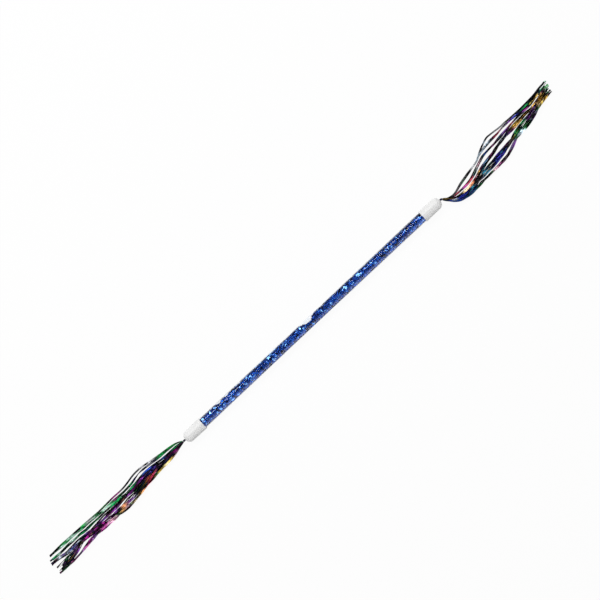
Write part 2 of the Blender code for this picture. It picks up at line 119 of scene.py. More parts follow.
def read_bands(text: str) -> Bands:
    """Bands of colour, from a reach in millimetres and a hue for each, with commas between them."""
    bands = (band.split() for band in text.split(","))
    return tuple((float(reach), Hue[word]) for reach, word in bands)


def smooth_step(share: float) -> float:
    """Ease from 0 to 1 as the share goes from 0 to 1."""
    share = min(max(share, 0.0), 1.0)
    return share * share * (3.0 - 2.0 * share)


def blend_colours(first: Colour, second: Colour, share: float) -> Colour:
    """Mix two colours, with a share of the second."""
    return tuple(a + (b - a) * share for a, b in zip(first, second))


# Shader nodes


class Graph:
    """Short words for filling one shader node tree."""

    def __init__(self, tree: bpy.types.NodeTree) -> None:
        """Keep the tree that nodes go into."""
        self.tree = tree

    def add(self, kind: str, inputs: dict | None = None, **settings: object) -> bpy.types.Node:
        """Add a node.

        Args:
            kind: type of node, without Blender's ShaderNode in front.
            inputs: a plain value, or the socket that feeds it, for each named input.
            settings: values of the node's own properties.

        Returns:
            The new node.
        """
        node = self.tree.nodes.new(f"ShaderNode{kind}")
        for name, value in settings.items():
            setattr(node, name, value)
        for name, value in (inputs or {}).items():
            if isinstance(value, Socket):
                self.tree.links.new(value, node.inputs[name])
            else:
                node.inputs[name].default_value = value
        return node

    def math(self, operation: str, first: object, second: object = 0.0) -> Socket:
        """Work out one value from two values or sockets, by the named operation."""
        return self.add("Math", {0: first, 1: second}, operation=operation).outputs["Value"]

    def stretch(self, value: Socket, low: float, high: float) -> Socket:
        """Spread a value of 0 to 1 over the range from low to high."""
        node = self.add("MapRange", {"Value": value, "To Min": low, "To Max": high})
        return node.outputs["Result"]

    def mix(self, share: object, first: object, second: object, blend: str = "MIX") -> Socket:
        """Mix two colours or sockets, with a share of the second, by the named blend type."""
        node = self.add("Mix", {0: share, 6: first, 7: second}, data_type="RGBA", blend_type=blend)
        return node.outputs[2]

    def ramp(self, value: Socket, stops: Stops) -> Socket:
        """Turn a value into a colour.

        Args:
            value: the socket that runs along the ramp.
            stops: place and colour of each stop, in order.

        Returns:
            The socket that holds the colour.
        """
        node = self.add("ValToRGB", {"Fac": value})
        elements = node.color_ramp.elements
        while len(elements) < len(stops):
            elements.new(1.0)
        for element, (place, colour) in zip(elements, stops):
            element.position = place
            element.color = (*colour, 1.0)
        return node.outputs["Color"]

    def bump(self, height: Socket, strength: float, depth: float) -> Socket:
        """Turn a height into a bumpy normal, by how much of the bump shows and how deep it is."""
        node = self.add("Bump", {"Height": height, "Strength": strength, "Distance": depth})
        return node.outputs["Normal"]

    def surface(self, colour: Socket, rough: Socket, normal: Socket, others: dict) -> Socket:
        """Make the main shader from a colour, a roughness, a normal and the values of other inputs."""
        inputs = {"Base Color": colour, "Roughness": rough, "Normal": normal, **others}
        return self.add("BsdfPrincipled", inputs).outputs[0]

    def mix_shaders(self, share: Socket, first: Socket, second: Socket) -> Socket:
        """Mix two shaders, with a share of the second."""
        return self.add("MixShader", {0: share, 1: first, 2: second}).outputs[0]


CREASES_TO_A_FACET = 2.3
GRAINS_TO_A_CLOUD = 18.0


class Effect(Enum):
    """Node groups that several finishes share, with the values each one puts out."""

    CRINKLE = ("foil_crinkle", ("Facet", "Crease"))
    MOTTLE = ("plastic_mottle", ("Cloud", "Grain"))

    def tree(self) -> bpy.types.NodeTree:
        """The group's node tree, built when it is first asked for."""
        name, outputs = self.value
        tree = bpy.data.node_groups.get(name)
        if tree is None:
            tree = bpy.data.node_groups.new(name, "ShaderNodeTree")
            tree.interface.new_socket("Vector", in_out="INPUT", socket_type="NodeSocketVector")
            tree.interface.new_socket("Scale", in_out="INPUT", socket_type="NodeSocketFloat")
            for output in outputs:
                tree.interface.new_socket(output, in_out="OUTPUT", socket_type="NodeSocketFloat")
            graph = Graph(tree)
            given = tree.nodes.new("NodeGroupInput")
            result = tree.nodes.new("NodeGroupOutput")
            fill = self.fill_crinkle if self is Effect.CRINKLE else self.fill_mottle
            for output, socket in zip(outputs, fill(graph, given.outputs["Vector"], given.outputs["Scale"])):
                tree.links.new(socket, result.inputs[output])
        return tree

    @staticmethod
    def fill_crinkle(graph: Graph, vector: Socket, scale: Socket) -> tuple[Socket, Socket]:
        """Fill the group for crinkled foil.

        Args:
            graph: the group's nodes.
            vector: place on the foil.
            scale: facets in a unit of length.

        Returns:
            A level for each facet, and creases that run between them.
        """
        facets = graph.add("TexVoronoi", {"Vector": vector, "Scale": scale, "Randomness": 1.0})
        level = graph.add("SeparateColor", {"Color": facets.outputs["Color"]}).outputs["Red"]
        finer = graph.math("MULTIPLY", scale, CREASES_TO_A_FACET)
        creases = graph.add("TexNoise", {"Vector": vector, "Scale": finer, "Detail": 3.0, "Distortion": 0.6})
        return level, creases.outputs["Fac"]

    @staticmethod
    def fill_mottle(graph: Graph, vector: Socket, scale: Socket) -> tuple[Socket, Socket]:
        """Fill the group for the unevenness of moulded and drawn plastic.

        Args:
            graph: the group's nodes.
            vector: place on the plastic.
            scale: clouds in a unit of length.

        Returns:
            Broad clouds and a fine grain.
        """
        cloud = graph.add("TexNoise", {"Vector": vector, "Scale": scale, "Detail": 2.0})
        finer = graph.math("MULTIPLY", scale, GRAINS_TO_A_CLOUD)
        grain = graph.add("TexNoise", {"Vector": vector, "Scale": finer, "Detail": 2.0, "Roughness": 0.6})
        return cloud.outputs["Fac"], grain.outputs["Fac"]

    def place(self, graph: Graph, scale: float, vector: Socket | None = None) -> list[Socket]:
        """Place the group in a material.

        Args:
            graph: the material's nodes.
            scale: how fine the effect is.
            vector: place on the surface, or None for the place in the object's own frame.

        Returns:
            The group's outputs, in order.
        """
        if vector is None:
            vector = graph.add("TexCoord").outputs["Object"]
        return graph.add("Group", {"Vector": vector, "Scale": scale}, node_tree=self.tree()).outputs[:]


@dataclass(frozen=True)
class Finish:
    """A surface finish, made into a material once."""

    name: str

    def material(self) -> bpy.types.Material:
        """The finish's material, built when it is first asked for."""
        material = bpy.data.materials.get(self.name)
        if material is None:
            material = bpy.data.materials.new(self.name)
            material.use_nodes = True
            material.node_tree.nodes.clear()
            graph = Graph(material.node_tree)
            graph.add("OutputMaterial", {"Surface": self.shade(graph)})
        return material

    def shade(self, graph: Graph) -> Socket:
        """Build the finish's shader among the material's nodes, and give its socket."""
        raise NotImplementedError


@dataclass(frozen=True)
class ClearPlastic(Finish):
    """Drawn clear plastic, faintly uneven, that lets the lamps through to what it holds."""

    tint: Colour = (0.955, 0.975, 1.0)
    shade_tint: Colour = (0.93, 0.95, 0.98)
    bend: float = 1.28
    fine: float = 60.0
    rough: Pair = (0.0, 0.03)
    bumps: Pair = (0.04, 0.1 * MM)

    def shade(self, graph: Graph) -> Socket:
        """Build the clear shader, see Finish."""
        cloud, grain = Effect.MOTTLE.place(graph, self.fine)
        glass = graph.surface(
            graph.mix(cloud, (*self.shade_tint, 1.0), (*self.tint, 1.0)),
            graph.stretch(grain, *self.rough),
            graph.bump(cloud, *self.bumps),
            {"Transmission Weight": 1.0, "IOR": self.bend},
        )
        clear = graph.add("BsdfTransparent", {"Color": (*self.tint, 1.0)}).outputs[0]
        return graph.mix_shaders(graph.add("LightPath").outputs["Is Shadow Ray"], glass, clear)


@dataclass(frozen=True)
class MouldedPlastic(Finish):
    """Satin moulded plastic."""

    colour: Colour = (0.815, 0.815, 0.81)
    flow_colour: Colour = (0.80, 0.80, 0.80)
    fine: float = 90.0
    rough: Pair = (0.36, 0.52)
    bumps: Pair = (0.06, 0.1 * MM)
    bend: float = 1.5
    glow: float = 0.06
    glow_depth: float = 1.0 * MM

    def shade(self, graph: Graph) -> Socket:
        """Build the satin shader, see Finish."""
        cloud, grain = Effect.MOTTLE.place(graph, self.fine)
        return graph.surface(
            graph.mix(cloud, (*self.flow_colour, 1.0), (*self.colour, 1.0)),
            graph.stretch(grain, *self.rough),
            graph.bump(cloud, *self.bumps),
            {"IOR": self.bend, "Subsurface Weight": self.glow, "Subsurface Radius": (self.glow_depth,) * 3},
        )


@dataclass(frozen=True)
class TinselFoil(Finish):
    """Blue metal foil of the garland: each blade has its own tone, with painted glints and painted side
    shade mixed in, and facets, painted lighter and darker as painted shade and highlight, cross it.
    """

    tones: Stops = (
        (0.15, (0.001, 0.011, 0.100)),
        (0.46, (0.002, 0.037, 0.230)),
        (0.74, (0.010, 0.100, 0.420)),
        # The last, pale stop is a painted glint.
        (0.88, (0.240, 0.530, 0.960)),
    )
    fine: float = 320.0
    rough: Pair = (0.32, 0.52)
    bumps: Pair = (0.5, 0.4 * MM)
    metal: float = 0.9
    tone_share: float = 0.75

    def shade(self, graph: Graph) -> Socket:
        """Build the foil shader, see Finish."""
        facet, crease = Effect.CRINKLE.place(graph, self.fine)
        tone = graph.add("Attribute", attribute_name="tone").outputs["Fac"]
        blade_part = graph.math("MULTIPLY", tone, self.tone_share)
        # Painted shade and highlight: each facet of the crinkle moves the colour along the ramp.
        painted_facet_light = graph.math("MULTIPLY", facet, 1.0 - self.tone_share)
        return graph.surface(
            graph.ramp(graph.math("ADD", blade_part, painted_facet_light), self.tones),
            graph.stretch(facet, *self.rough),
            graph.bump(crease, *self.bumps),
            {"Metallic": self.metal},
        )


@dataclass(frozen=True)
class RainbowFilm(Finish):
    """Metal film of the tassels: its colour runs along each strip, creases break it up, and facets are
    painted darker as painted shade.
    """

    fine: float = 3.0
    rough: Pair = (0.29, 0.40)
    bumps: Pair = (0.45, 0.3 * MM)
    metal: float = 0.95
    dim: float = 0.45

    def shade(self, graph: Graph) -> Socket:
        """Build the film shader, see Finish."""
        along = graph.add("UVMap", uv_map="film").outputs["UV"]
        facet, crease = Effect.CRINKLE.place(graph, self.fine, along)
        colour = graph.add("Attribute", attribute_name="film_colour").outputs["Color"]
        # Painted shade: facets of the crinkle darken the film's colour.
        dark = graph.mix(1.0, colour, (self.dim, self.dim, self.dim, 1.0), "MULTIPLY")
        return graph.surface(
            graph.mix(facet, dark, colour),
            graph.stretch(facet, *self.rough),
            graph.bump(crease, *self.bumps),
            {"Metallic": self.metal},
        )


@dataclass(frozen=True)
class SpunThread(Finish):
    """Dull blue spun thread."""

    dark: Colour = (0.020, 0.040, 0.140)
    light: Colour = (0.060, 0.120, 0.330)
    fine: float = 900.0
    rough: Pair = (0.7, 0.95)
    bumps: Pair = (0.4, 0.1 * MM)
    sheen: float = 0.2

    def shade(self, graph: Graph) -> Socket:
        """Build the thread shader, see Finish."""
        cloud, grain = Effect.MOTTLE.place(graph, self.fine)
        return graph.surface(
            graph.mix(grain, (*self.dark, 1.0), (*self.light, 1.0)),
            graph.stretch(cloud, *self.rough),
            graph.bump(grain, *self.bumps),
            {"Sheen Weight": self.sheen},
        )


@dataclass(frozen=True)
class StudioFloor(Finish):
    """White table top that still shows the baton's shadow."""

    colour: Colour = (0.80, 0.80, 0.80)
    glow: float = 0.95

    def shade(self, graph: Graph) -> Socket:
        """Build the table's shader, see Finish."""
        path = graph.add("LightPath").outputs
        seen = graph.math("MAXIMUM", path["Is Camera Ray"], path["Is Glossy Ray"])
        seen = graph.math("MAXIMUM", seen, path["Is Transmission Ray"])
        matt = graph.add("BsdfDiffuse", {"Color": (*self.colour, 1.0)}).outputs[0]
        white = graph.add("Emission", {"Color": (1.0, 1.0, 1.0, 1.0), "Strength": 1.0}).outputs[0]
        return graph.mix_shaders(graph.math("MULTIPLY", seen, self.glow), matt, white)


# Pieces


@dataclass(frozen=True)
class PieceLabel:
    """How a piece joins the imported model: the node it stands for, its body and its material slot."""

    name: str
    node: str
    body: str
    slot: str


def finish_piece(shape: Shape, label: PieceLabel, finish: Finish, sharp: float = math.radians(40.0)) -> None:
    """Make a shape into a piece of the baton.

    Args:
        shape: the piece's mesh in its final place, which is freed.
        label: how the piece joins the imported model.
        finish: what its surface is made of.
        sharp: edges that turn by more than this angle stay sharp.
    """
    mesh = bpy.data.meshes.new(label.name)
    shape.to_mesh(mesh)
    shape.free()
    mesh.materials.append(finish.material())
    mesh.shade_smooth()
    mesh.set_sharp_from_angle(angle=sharp)
    piece = bpy.data.objects.new(label.name, mesh)
    bpy.context.scene.collection.objects.link(piece)
    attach(piece, label.body)
    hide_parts(label.node)
    LOG.info("%s: %d faces, on %s", label.name, len(mesh.polygons), label.body)


def turn_section(section: Section, steps: int, rounding_steps: int) -> Shape:
    """Spin a closed section round the Z axis.

    Args:
        section: radius, height and rounding of each corner, in order.
        steps: faces round the axis.
        rounding_steps: faces across each rounded corner.

    Returns:
        The turned shape.
    """
    shape = bmesh.new()
    corners = [shape.verts.new((radius, 0.0, height)) for radius, height, _ in section]
    for pair in zip(corners, corners[1:] + corners[:1]):
        shape.edges.new(pair)
    for corner, (_, _, rounding) in zip(corners, section):
        if rounding > 0.0:
            bmesh.ops.bevel(
                shape, geom=[corner], offset=rounding, affect="VERTICES", segments=rounding_steps,
                profile=0.5, material=-1,
            )
    bmesh.ops.spin(
        shape, geom=shape.verts[:] + shape.edges[:], axis=(0.0, 0.0, 1.0), cent=(0.0, 0.0, 0.0),
        angle=math.tau, steps=steps, use_merge=True,
    )
    bmesh.ops.recalc_face_normals(shape, faces=shape.faces)
    return shape


def oval_arc(centre: Pair, radii: Pair, start: float, stop: float, steps: int) -> list[Pair]:
    """Radius and height of points along an oval arc of a section, from one angle to another."""
    angles = [start + (stop - start) * step / steps for step in range(steps + 1)]
    return [(centre[0] + radii[0] * math.cos(a), centre[1] + radii[1] * math.sin(a)) for a in angles]


def lay_along_x(shape: Shape, place: Vector, end: End) -> None:
    """Lay a shape that stands on the Z axis along the baton, facing an end, with its origin at a place."""
    lie = Matrix.Rotation(end.value * math.pi / 2, 4, "Y")
    bmesh.ops.transform(shape, matrix=Matrix.Translation(place) @ lie, verts=shape.verts)


def middle_of(node: str) -> Vector:
    """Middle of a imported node's box."""
    low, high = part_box(node)
    return (low + high) / 2


def joint_place(name: str) -> Vector:
    """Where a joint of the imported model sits."""
    return Vector(next(joint["pos_m"] for joint in frame["joints"] if joint["name"] == name))


@dataclass(frozen=True)
class ClearTube:
    """The clear tube's wall."""

    radius: float = 6.6 * MM
    wall: float = 0.45 * MM
    rounding: float = 0.12 * MM
    rounding_steps: int = 3
    steps: int = 128

    def build(self) -> None:
        """Make the tube."""
        low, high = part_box("clear_tube")
        half = (high.x - low.x) / 2
        bore = self.radius - self.wall
        corners = ((self.radius, half), (self.radius, -half), (bore, -half), (bore, half))
        section = [(*corner, self.rounding) for corner in corners]
        shape = turn_section(section, self.steps, self.rounding_steps)
        lay_along_x(shape, middle_of("clear_tube"), End.RIGHT)
        label = PieceLabel("tube_wall", "clear_tube", "baton", "clear_tube")
        finish_piece(shape, label, ClearPlastic("clear_plastic"))


@dataclass(frozen=True)
class EndCap:
    """A white cap: a socket for the tube, a ledge that stops it, a chamber for the knot, a holed end."""

    end: End
    length: float = 28.8 * MM
    mouth_radius: float = 7.8 * MM
    end_radius: float = 7.45 * MM
    lip_radius: float = 7.95 * MM
    lip_length: float = 1.6 * MM
    socket_radius: float = 6.9 * MM
    socket_depth: float = 15.8 * MM
    chamber_radius: float = 5.7 * MM
    end_wall: float = 2.4 * MM
    hole_radius: float = 1.5 * MM
    dome_length: float = 6.5 * MM
    chamber_rounding: Pair = (2.3 * MM, 4.6 * MM)
    edge_rounding: float = 0.25 * MM
    rounding_steps: int = 8
    steps: int = 96
    arc_steps: int = 20

    def section(self) -> Section:
        """Radius, height and rounding of each corner, from the holed end round to the socket."""
        floor = self.length - self.end_wall
        lip_step = self.lip_radius - self.mouth_radius
        edge = self.edge_rounding
        dome_centre = (0.0, self.length - self.dome_length)
        dome_radii = (self.end_radius, self.dome_length)
        rim_angle = math.acos(self.hole_radius / self.end_radius)
        rim, *dome = oval_arc(dome_centre, dome_radii, rim_angle, 0.0, self.arc_steps)
        deep, tall = self.chamber_rounding
        chamber_centre = (self.chamber_radius - deep, floor - tall)
        chamber = oval_arc(chamber_centre, self.chamber_rounding, 0.0, math.pi / 2, self.arc_steps // 2)
        return [
            (*rim, edge),
            *((radius, height, 0.0) for radius, height in dome),
            (self.mouth_radius, self.lip_length + 3 * lip_step, 0.0),
            (self.lip_radius, self.lip_length, lip_step),
            (self.lip_radius, 0.0, edge),
            (self.socket_radius, 0.0, edge),
            (self.socket_radius, self.socket_depth, 0.0),
            (self.chamber_radius, self.socket_depth, edge),
            *((radius, height, 0.0) for radius, height in chamber),
            (self.hole_radius, floor, edge),
        ]

    def build(self) -> None:
        """Make the cap."""
        node = f"{self.end.word}_cap"
        low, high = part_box(node)
        place = middle_of(node)
        place.x = low.x if self.end is End.RIGHT else high.x
        shape = turn_section(self.section(), self.steps, self.rounding_steps)
        lay_along_x(shape, place, self.end)
        label = PieceLabel(f"{node}_moulding", node, "baton", "cap_white")
        finish_piece(shape, label, MouldedPlastic("cap_plastic"))


@dataclass(frozen=True)
class Knot:
    """Foil gathered into a knot inside a cap, with a pleated neck through the cap's hole."""

    end: End
    pleats: int = 9
    pleat_faces: int = 6
    neck_radius: float = 1.10 * MM
    ball_radius: float = 1.33 * MM
    knot_radius: float = 3.20 * MM
    knot_length: float = 5.6 * MM
    seat: float = 4.65 * MM
    twist: float = 0.9
    streaks: int = 3
    navy_share: float = 0.4
    film_length: float = 10.0 * MM

    def stations(self) -> list[tuple[float, float, float]]:
        """Height, radius and depth of pleats at each station, from the knot to the tip of the neck."""
        bottom = -self.seat - self.knot_length
        swell = [(0.02, 0.30), (0.12, 0.66), (0.28, 0.92), (0.5, 1.0), (0.72, 0.90), (0.88, 0.62)]
        knot = [(bottom + share * self.knot_length, size * self.knot_radius, 0.10) for share, size in swell]
        neck = [
            (-self.seat, self.neck_radius, 0.12),
            (-self.seat / 2, self.neck_radius, 0.14),
            (-1.2 * MM, self.neck_radius, 0.16),
            (0.0, self.ball_radius, 0.05),
            (0.9 * MM, 0.9 * MM, 0.25),
            (1.25 * MM, 0.35 * MM, 0.2),
        ]
        return knot + neck

    def build(self) -> None:
        """Make the knot."""
        shape = bmesh.new()
        count = self.pleats * self.pleat_faces
        spoke = shape.verts.layers.int.new("spoke")
        made = bmesh.ops.create_circle(shape, cap_ends=True, segments=count, radius=1.0)
        for vert in made["verts"]:
            vert[spoke] = round(math.atan2(vert.co.y, vert.co.x) / math.tau * count)
        ring = made["verts"]
        edges = shape.edges[:]
        for step, (height, radius, depth) in enumerate(self.stations()):
            if step > 0:
                grown = bmesh.ops.extrude_edge_only(shape, edges=edges)["geom"]
                ring = [item for item in grown if isinstance(item, bmesh.types.BMVert)]
                edges = [item for item in grown if isinstance(item, bmesh.types.BMEdge)]
            for vert in ring:
                angle = math.tau * vert[spoke] / count
                wave = 1.0 + depth * math.cos(self.pleats * angle + self.twist * step)
                vert.co = (radius * wave * math.cos(angle), radius * wave * math.sin(angle), height)
        bmesh.ops.edgeloop_fill(shape, edges=edges)
        bmesh.ops.recalc_face_normals(shape, faces=shape.faces)
        self.colour(shape)
        lay_along_x(shape, joint_place(f"{self.end.word}_knot_turn"), self.end)
        node = f"{self.end.word}_knot"
        label = PieceLabel(f"{self.end.word}_gathered_knot", node, f"{self.end.word}_swivel", "knot_foil")
        finish_piece(shape, label, RainbowFilm("rainbow_film"))

    def colour(self, shape: Shape) -> None:
        """Paint the knot's foil black with navy streaks, and give it a map along it.

        Args:
            shape: the knot, still standing on the Z axis.
        """
        film = shape.verts.layers.float_color.new("film_colour")
        uv = shape.loops.layers.uv.new("film")
        for vert in shape.verts:
            share = 0.5 + 0.5 * math.sin(self.streaks * math.atan2(vert.co.y, vert.co.x) + vert.co.z / MM)
            vert[film] = (*blend_colours(Hue.BLACK.value, Hue.NAVY.value, self.navy_share * share), 1.0)
            place = vert.co / self.film_length
            for loop in vert.link_loops:
                loop[uv].uv = (place.x + place.y, place.z)


@dataclass(frozen=True)
class Bite:
    """A place where the garland doesn't fill the tube: a notch cut into one side of it."""

    x: float
    lengths: Pair
    half_turn: float
    depth: float
    turn: float = 0.0
    edge_start: float = 0.85
    edge_width: float = 0.3

    def share_left(self, x: float, turn: float) -> float:
        """How much of its reach a blade keeps.

        Args:
            x: place of the blade's root along the tube.
            turn: angle of the blade round the tube.

        Returns:
            A share of at most 1.
        """
        apart = abs((turn - self.turn + math.pi) % math.tau - math.pi)
        length = self.lengths[0] if x < self.x else self.lengths[1]
        near = max(1.0 - abs(x - self.x) / length, 0.0)
        kept = smooth_step((apart / self.half_turn - self.edge_start) / self.edge_width)
        return 1.0 - self.depth * near * (1.0 - kept)


# Shares of its reach and of its width that a blade has at each step, from root to tip
BLADE_REACHES = (0.22, 0.62, 1.0, 1.0, 1.0)
BLADE_WIDTHS = (0.5, 0.9, 1.0, 0.95, 0.5)
FOLD_STEP = 2


@dataclass(frozen=True)
class Blade:
    """One foil blade of the garland: a stalk out to the tube's wall, then a tip folded along the wall."""

    x: float
    turn: float
    reach: float
    lean: float
    fold: float
    fold_way: float
    dips: Pair
    roll: float
    width: float
    tone: float

    def place(self, step: int, side: int, limit: float) -> Vector:
        """Where one corner of the blade is, from the tube's middle.

        Args:
            step: 0 at the root, and the last one at the tip.
            side: -1 or 1, for the two edges.
            limit: radius that the blade stays inside.

        Returns:
            The corner's place.
        """
        folded = max(step - FOLD_STEP, 0) * self.fold
        x = self.x + self.lean * min(step, FOLD_STEP) / FOLD_STEP + folded * math.cos(self.fold_way)
        radius = self.reach * BLADE_REACHES[step]
        if step > FOLD_STEP:
            radius -= self.dips[step - FOLD_STEP - 1]
        turn = self.turn + folded * math.sin(self.fold_way) / self.reach
        outward = Vector((0.0, math.cos(turn), math.sin(turn)))
        around = Vector((0.0, -math.sin(turn), math.cos(turn)))
        along = Vector((1.0, 0.0, 0.0))
        flat = -math.sin(self.fold_way) * along + math.cos(self.fold_way) * around
        across = math.cos(self.roll) * flat + math.sin(self.roll) * outward
        half_width = self.width / 2 * BLADE_WIDTHS[step]
        corner = Vector((x, 0.0, 0.0)) + radius * outward + side * half_width * across
        out = math.hypot(corner.y, corner.z)
        if out > limit:
            corner.y *= limit / out
            corner.z *= limit / out
        return corner


@dataclass(frozen=True)
class Garland:
    """Tinsel garland packed in the tube: a fringe of foil blades on a two-ply thread."""

    blades: int = 5000
    end_gap: float = 1.0 * MM
    limit: float = 6.1 * MM
    reach: float = 6.1 * MM
    least_reach: float = 0.9 * MM
    reach_shares: Pair = (0.98, 1.0)
    twist_pitch: float = 18.0 * MM
    twist_depth: float = 0.05
    ragged_start: float = 0.1
    ragged_depth: float = 0.45
    ragged_length: float = 3.5 * MM
    folds: Pair = (1.2 * MM, 2.3 * MM)
    lean: float = 1.5 * MM
    first_dips: Pair = (-0.15 * MM, 0.15 * MM)
    last_dips: Pair = (-0.15 * MM, 0.35 * MM)
    roll_spread: float = 0.42
    widths: Pair = (1.6 * MM, 3.0 * MM)
    tone: float = 0.44
    tone_drift: float = 0.35
    tone_length: float = 4.0 * MM
    # Painted light: rare blades are pushed up to the pale painted glint and the rest are painted darker.
    # This is full on the far side, towards the lamps, and a quarter on the near side, which is so painted
    # lighter.
    flecks: float = 1.7
    fleck_rarity: int = 8
    fleck_ground: float = 0.30
    full_side_share: float = 0.25
    foil_thickness: float = 0.03 * MM
    foil_sharp: float = math.radians(25.0)
    ply_radius: float = 0.36 * MM
    ply_pitch: float = 6.0 * MM
    ply_steps: int = 10
    ply_faces: int = 8
    seed: int = 11
    bites: tuple[Bite, ...] = (
        Bite(-3.0 * MM, (15.0 * MM, 8.0 * MM), math.radians(112.0), 1.2),
        Bite(-150.0 * MM, (5.0 * MM, 4.0 * MM), math.radians(65.0), 0.5),
        Bite(-138.0 * MM, (4.0 * MM, 4.0 * MM), math.radians(60.0), 0.4),
    )

    def cut_blades(self, half: float) -> list[Blade]:
        """Choose the place, size and fold of every blade.

        Args:
            half: half of the garland's length.

        Returns:
            The blades.
        """
        chance = random.Random(self.seed)
        blades = []
        for number in range(self.blades):
            x = -half + 2 * half * (number + chance.random()) / self.blades
            turn = chance.uniform(-math.pi, math.pi)
            wave = 0.5 + 0.5 * math.cos(turn - math.tau * x / self.twist_pitch)
            far_side_weight = 0.5 + 0.5 * math.cos(turn)
            ragged = max(noise.noise(Vector((x / self.ragged_length, 0.5, 0.5))) - self.ragged_start, 0.0)
            shortfall = far_side_weight * (self.twist_depth * wave + self.ragged_depth * ragged * far_side_weight)
            reach = self.reach * (1.0 - shortfall) * chance.uniform(*self.reach_shares)
            drift = noise.noise(Vector((x / self.tone_length, math.cos(turn), math.sin(turn))))
            # Painted light by side: blades on the far side, towards the lamps, get the full painted glints
            # and painted shade, and those on the near side a quarter.
            painted_light_contrast = self.full_side_share + (1.0 - self.full_side_share) * far_side_weight
            fold = chance.uniform(*self.folds)
            fold_way = chance.uniform(-math.pi, math.pi)
            if abs(x + 2 * fold * math.cos(fold_way)) > half:
                fold_way = math.pi - fold_way
            tip_x = x + 2 * fold * math.cos(fold_way)
            tip_turn = turn + 2 * fold * math.sin(fold_way) / reach
            for bite in self.bites:
                reach *= min(bite.share_left(x, turn), bite.share_left(tip_x, tip_turn))
            blades.append(
                Blade(
                    x=x,
                    turn=turn,
                    reach=max(reach, self.least_reach),
                    lean=chance.uniform(-self.lean, self.lean),
                    fold=fold,
                    fold_way=fold_way,
                    dips=(chance.uniform(*self.first_dips), chance.uniform(*self.last_dips)),
                    roll=chance.gauss(0.0, self.roll_spread),
                    width=chance.uniform(*self.widths),
                    tone=self.tone
                    + self.tone_drift * drift
                    + painted_light_contrast * (self.flecks * chance.random() ** self.fleck_rarity - self.fleck_ground),
                )
            )
        return blades

    def build_fringe(self) -> None:
        """Make the fringe: all root edges are extruded at once, and each step is then put in place."""
        low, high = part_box("tinsel_fringe")
        half = (high.x - low.x) / 2 - self.end_gap
        blades = self.cut_blades(half)
        middle = middle_of("clear_tube")
        shape = bmesh.new()
        owner = shape.verts.layers.int.new("owner")
        edge_side = shape.verts.layers.int.new("edge_side")
        # Each blade's tone, with its painted glints and painted side shade, goes to the foil as an
        # attribute.
        tone = shape.verts.layers.float.new("tone")
        edges = []
        for number, blade in enumerate(blades):
            pair = []
            for side in (-1, 1):
                vert = shape.verts.new(middle + blade.place(0, side, self.limit))
                vert[owner] = number
                vert[edge_side] = side
                vert[tone] = blade.tone
                pair.append(vert)
            edges.append(shape.edges.new(pair))
        for step in range(1, len(BLADE_REACHES)):
            grown = bmesh.ops.extrude_edge_only(shape, edges=edges)["geom"]
            edges = [item for item in grown if isinstance(item, bmesh.types.BMEdge)]
            for vert in grown:
                if isinstance(vert, bmesh.types.BMVert):
                    vert.co = middle + blades[vert[owner]].place(step, vert[edge_side], self.limit)
        bmesh.ops.solidify(shape, geom=shape.faces[:], thickness=self.foil_thickness)
        label = PieceLabel("foil_fringe", "tinsel_fringe", "baton", "tinsel_blue")
        finish_piece(shape, label, TinselFoil("tinsel_foil"), self.foil_sharp)

    def build_thread(self) -> None:
        """Make the thread: two plies, each a ring spun round the axis and drawn along it."""
        low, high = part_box("garland_thread")
        length = high.x - low.x
        turns = length / self.ply_pitch
        steps = round(turns * self.ply_steps)
        shape = bmesh.new()
        for way in (-1, 1):
            start = Matrix.Translation((way * self.ply_radius, 0.0, -length / 2))
            made = bmesh.ops.create_circle(
                shape, segments=self.ply_faces, radius=self.ply_radius, matrix=start
            )
            ring = made["verts"]
            edges = list({edge for vert in ring for edge in vert.link_edges})
            bmesh.ops.spin(
                shape, geom=ring + edges, axis=(0.0, 0.0, 1.0), cent=(0.0, 0.0, 0.0),
                dvec=(0.0, 0.0, length / steps), angle=math.tau * turns, steps=steps,
            )
        bmesh.ops.holes_fill(shape, edges=shape.edges)
        bmesh.ops.recalc_face_normals(shape, faces=shape.faces)
        lay_along_x(shape, middle_of("garland_thread"), End.RIGHT)
        label = PieceLabel("core_thread", "garland_thread", "baton", "garland_thread")
        finish_piece(shape, label, SpunThread("spun_thread"))

    def build(self) -> None:
        """Make the garland."""
        self.build_thread()
        self.build_fringe()


# Tassels: routes are in millimetres, as reach beyond the pivot and offset to the side, lowest lane first

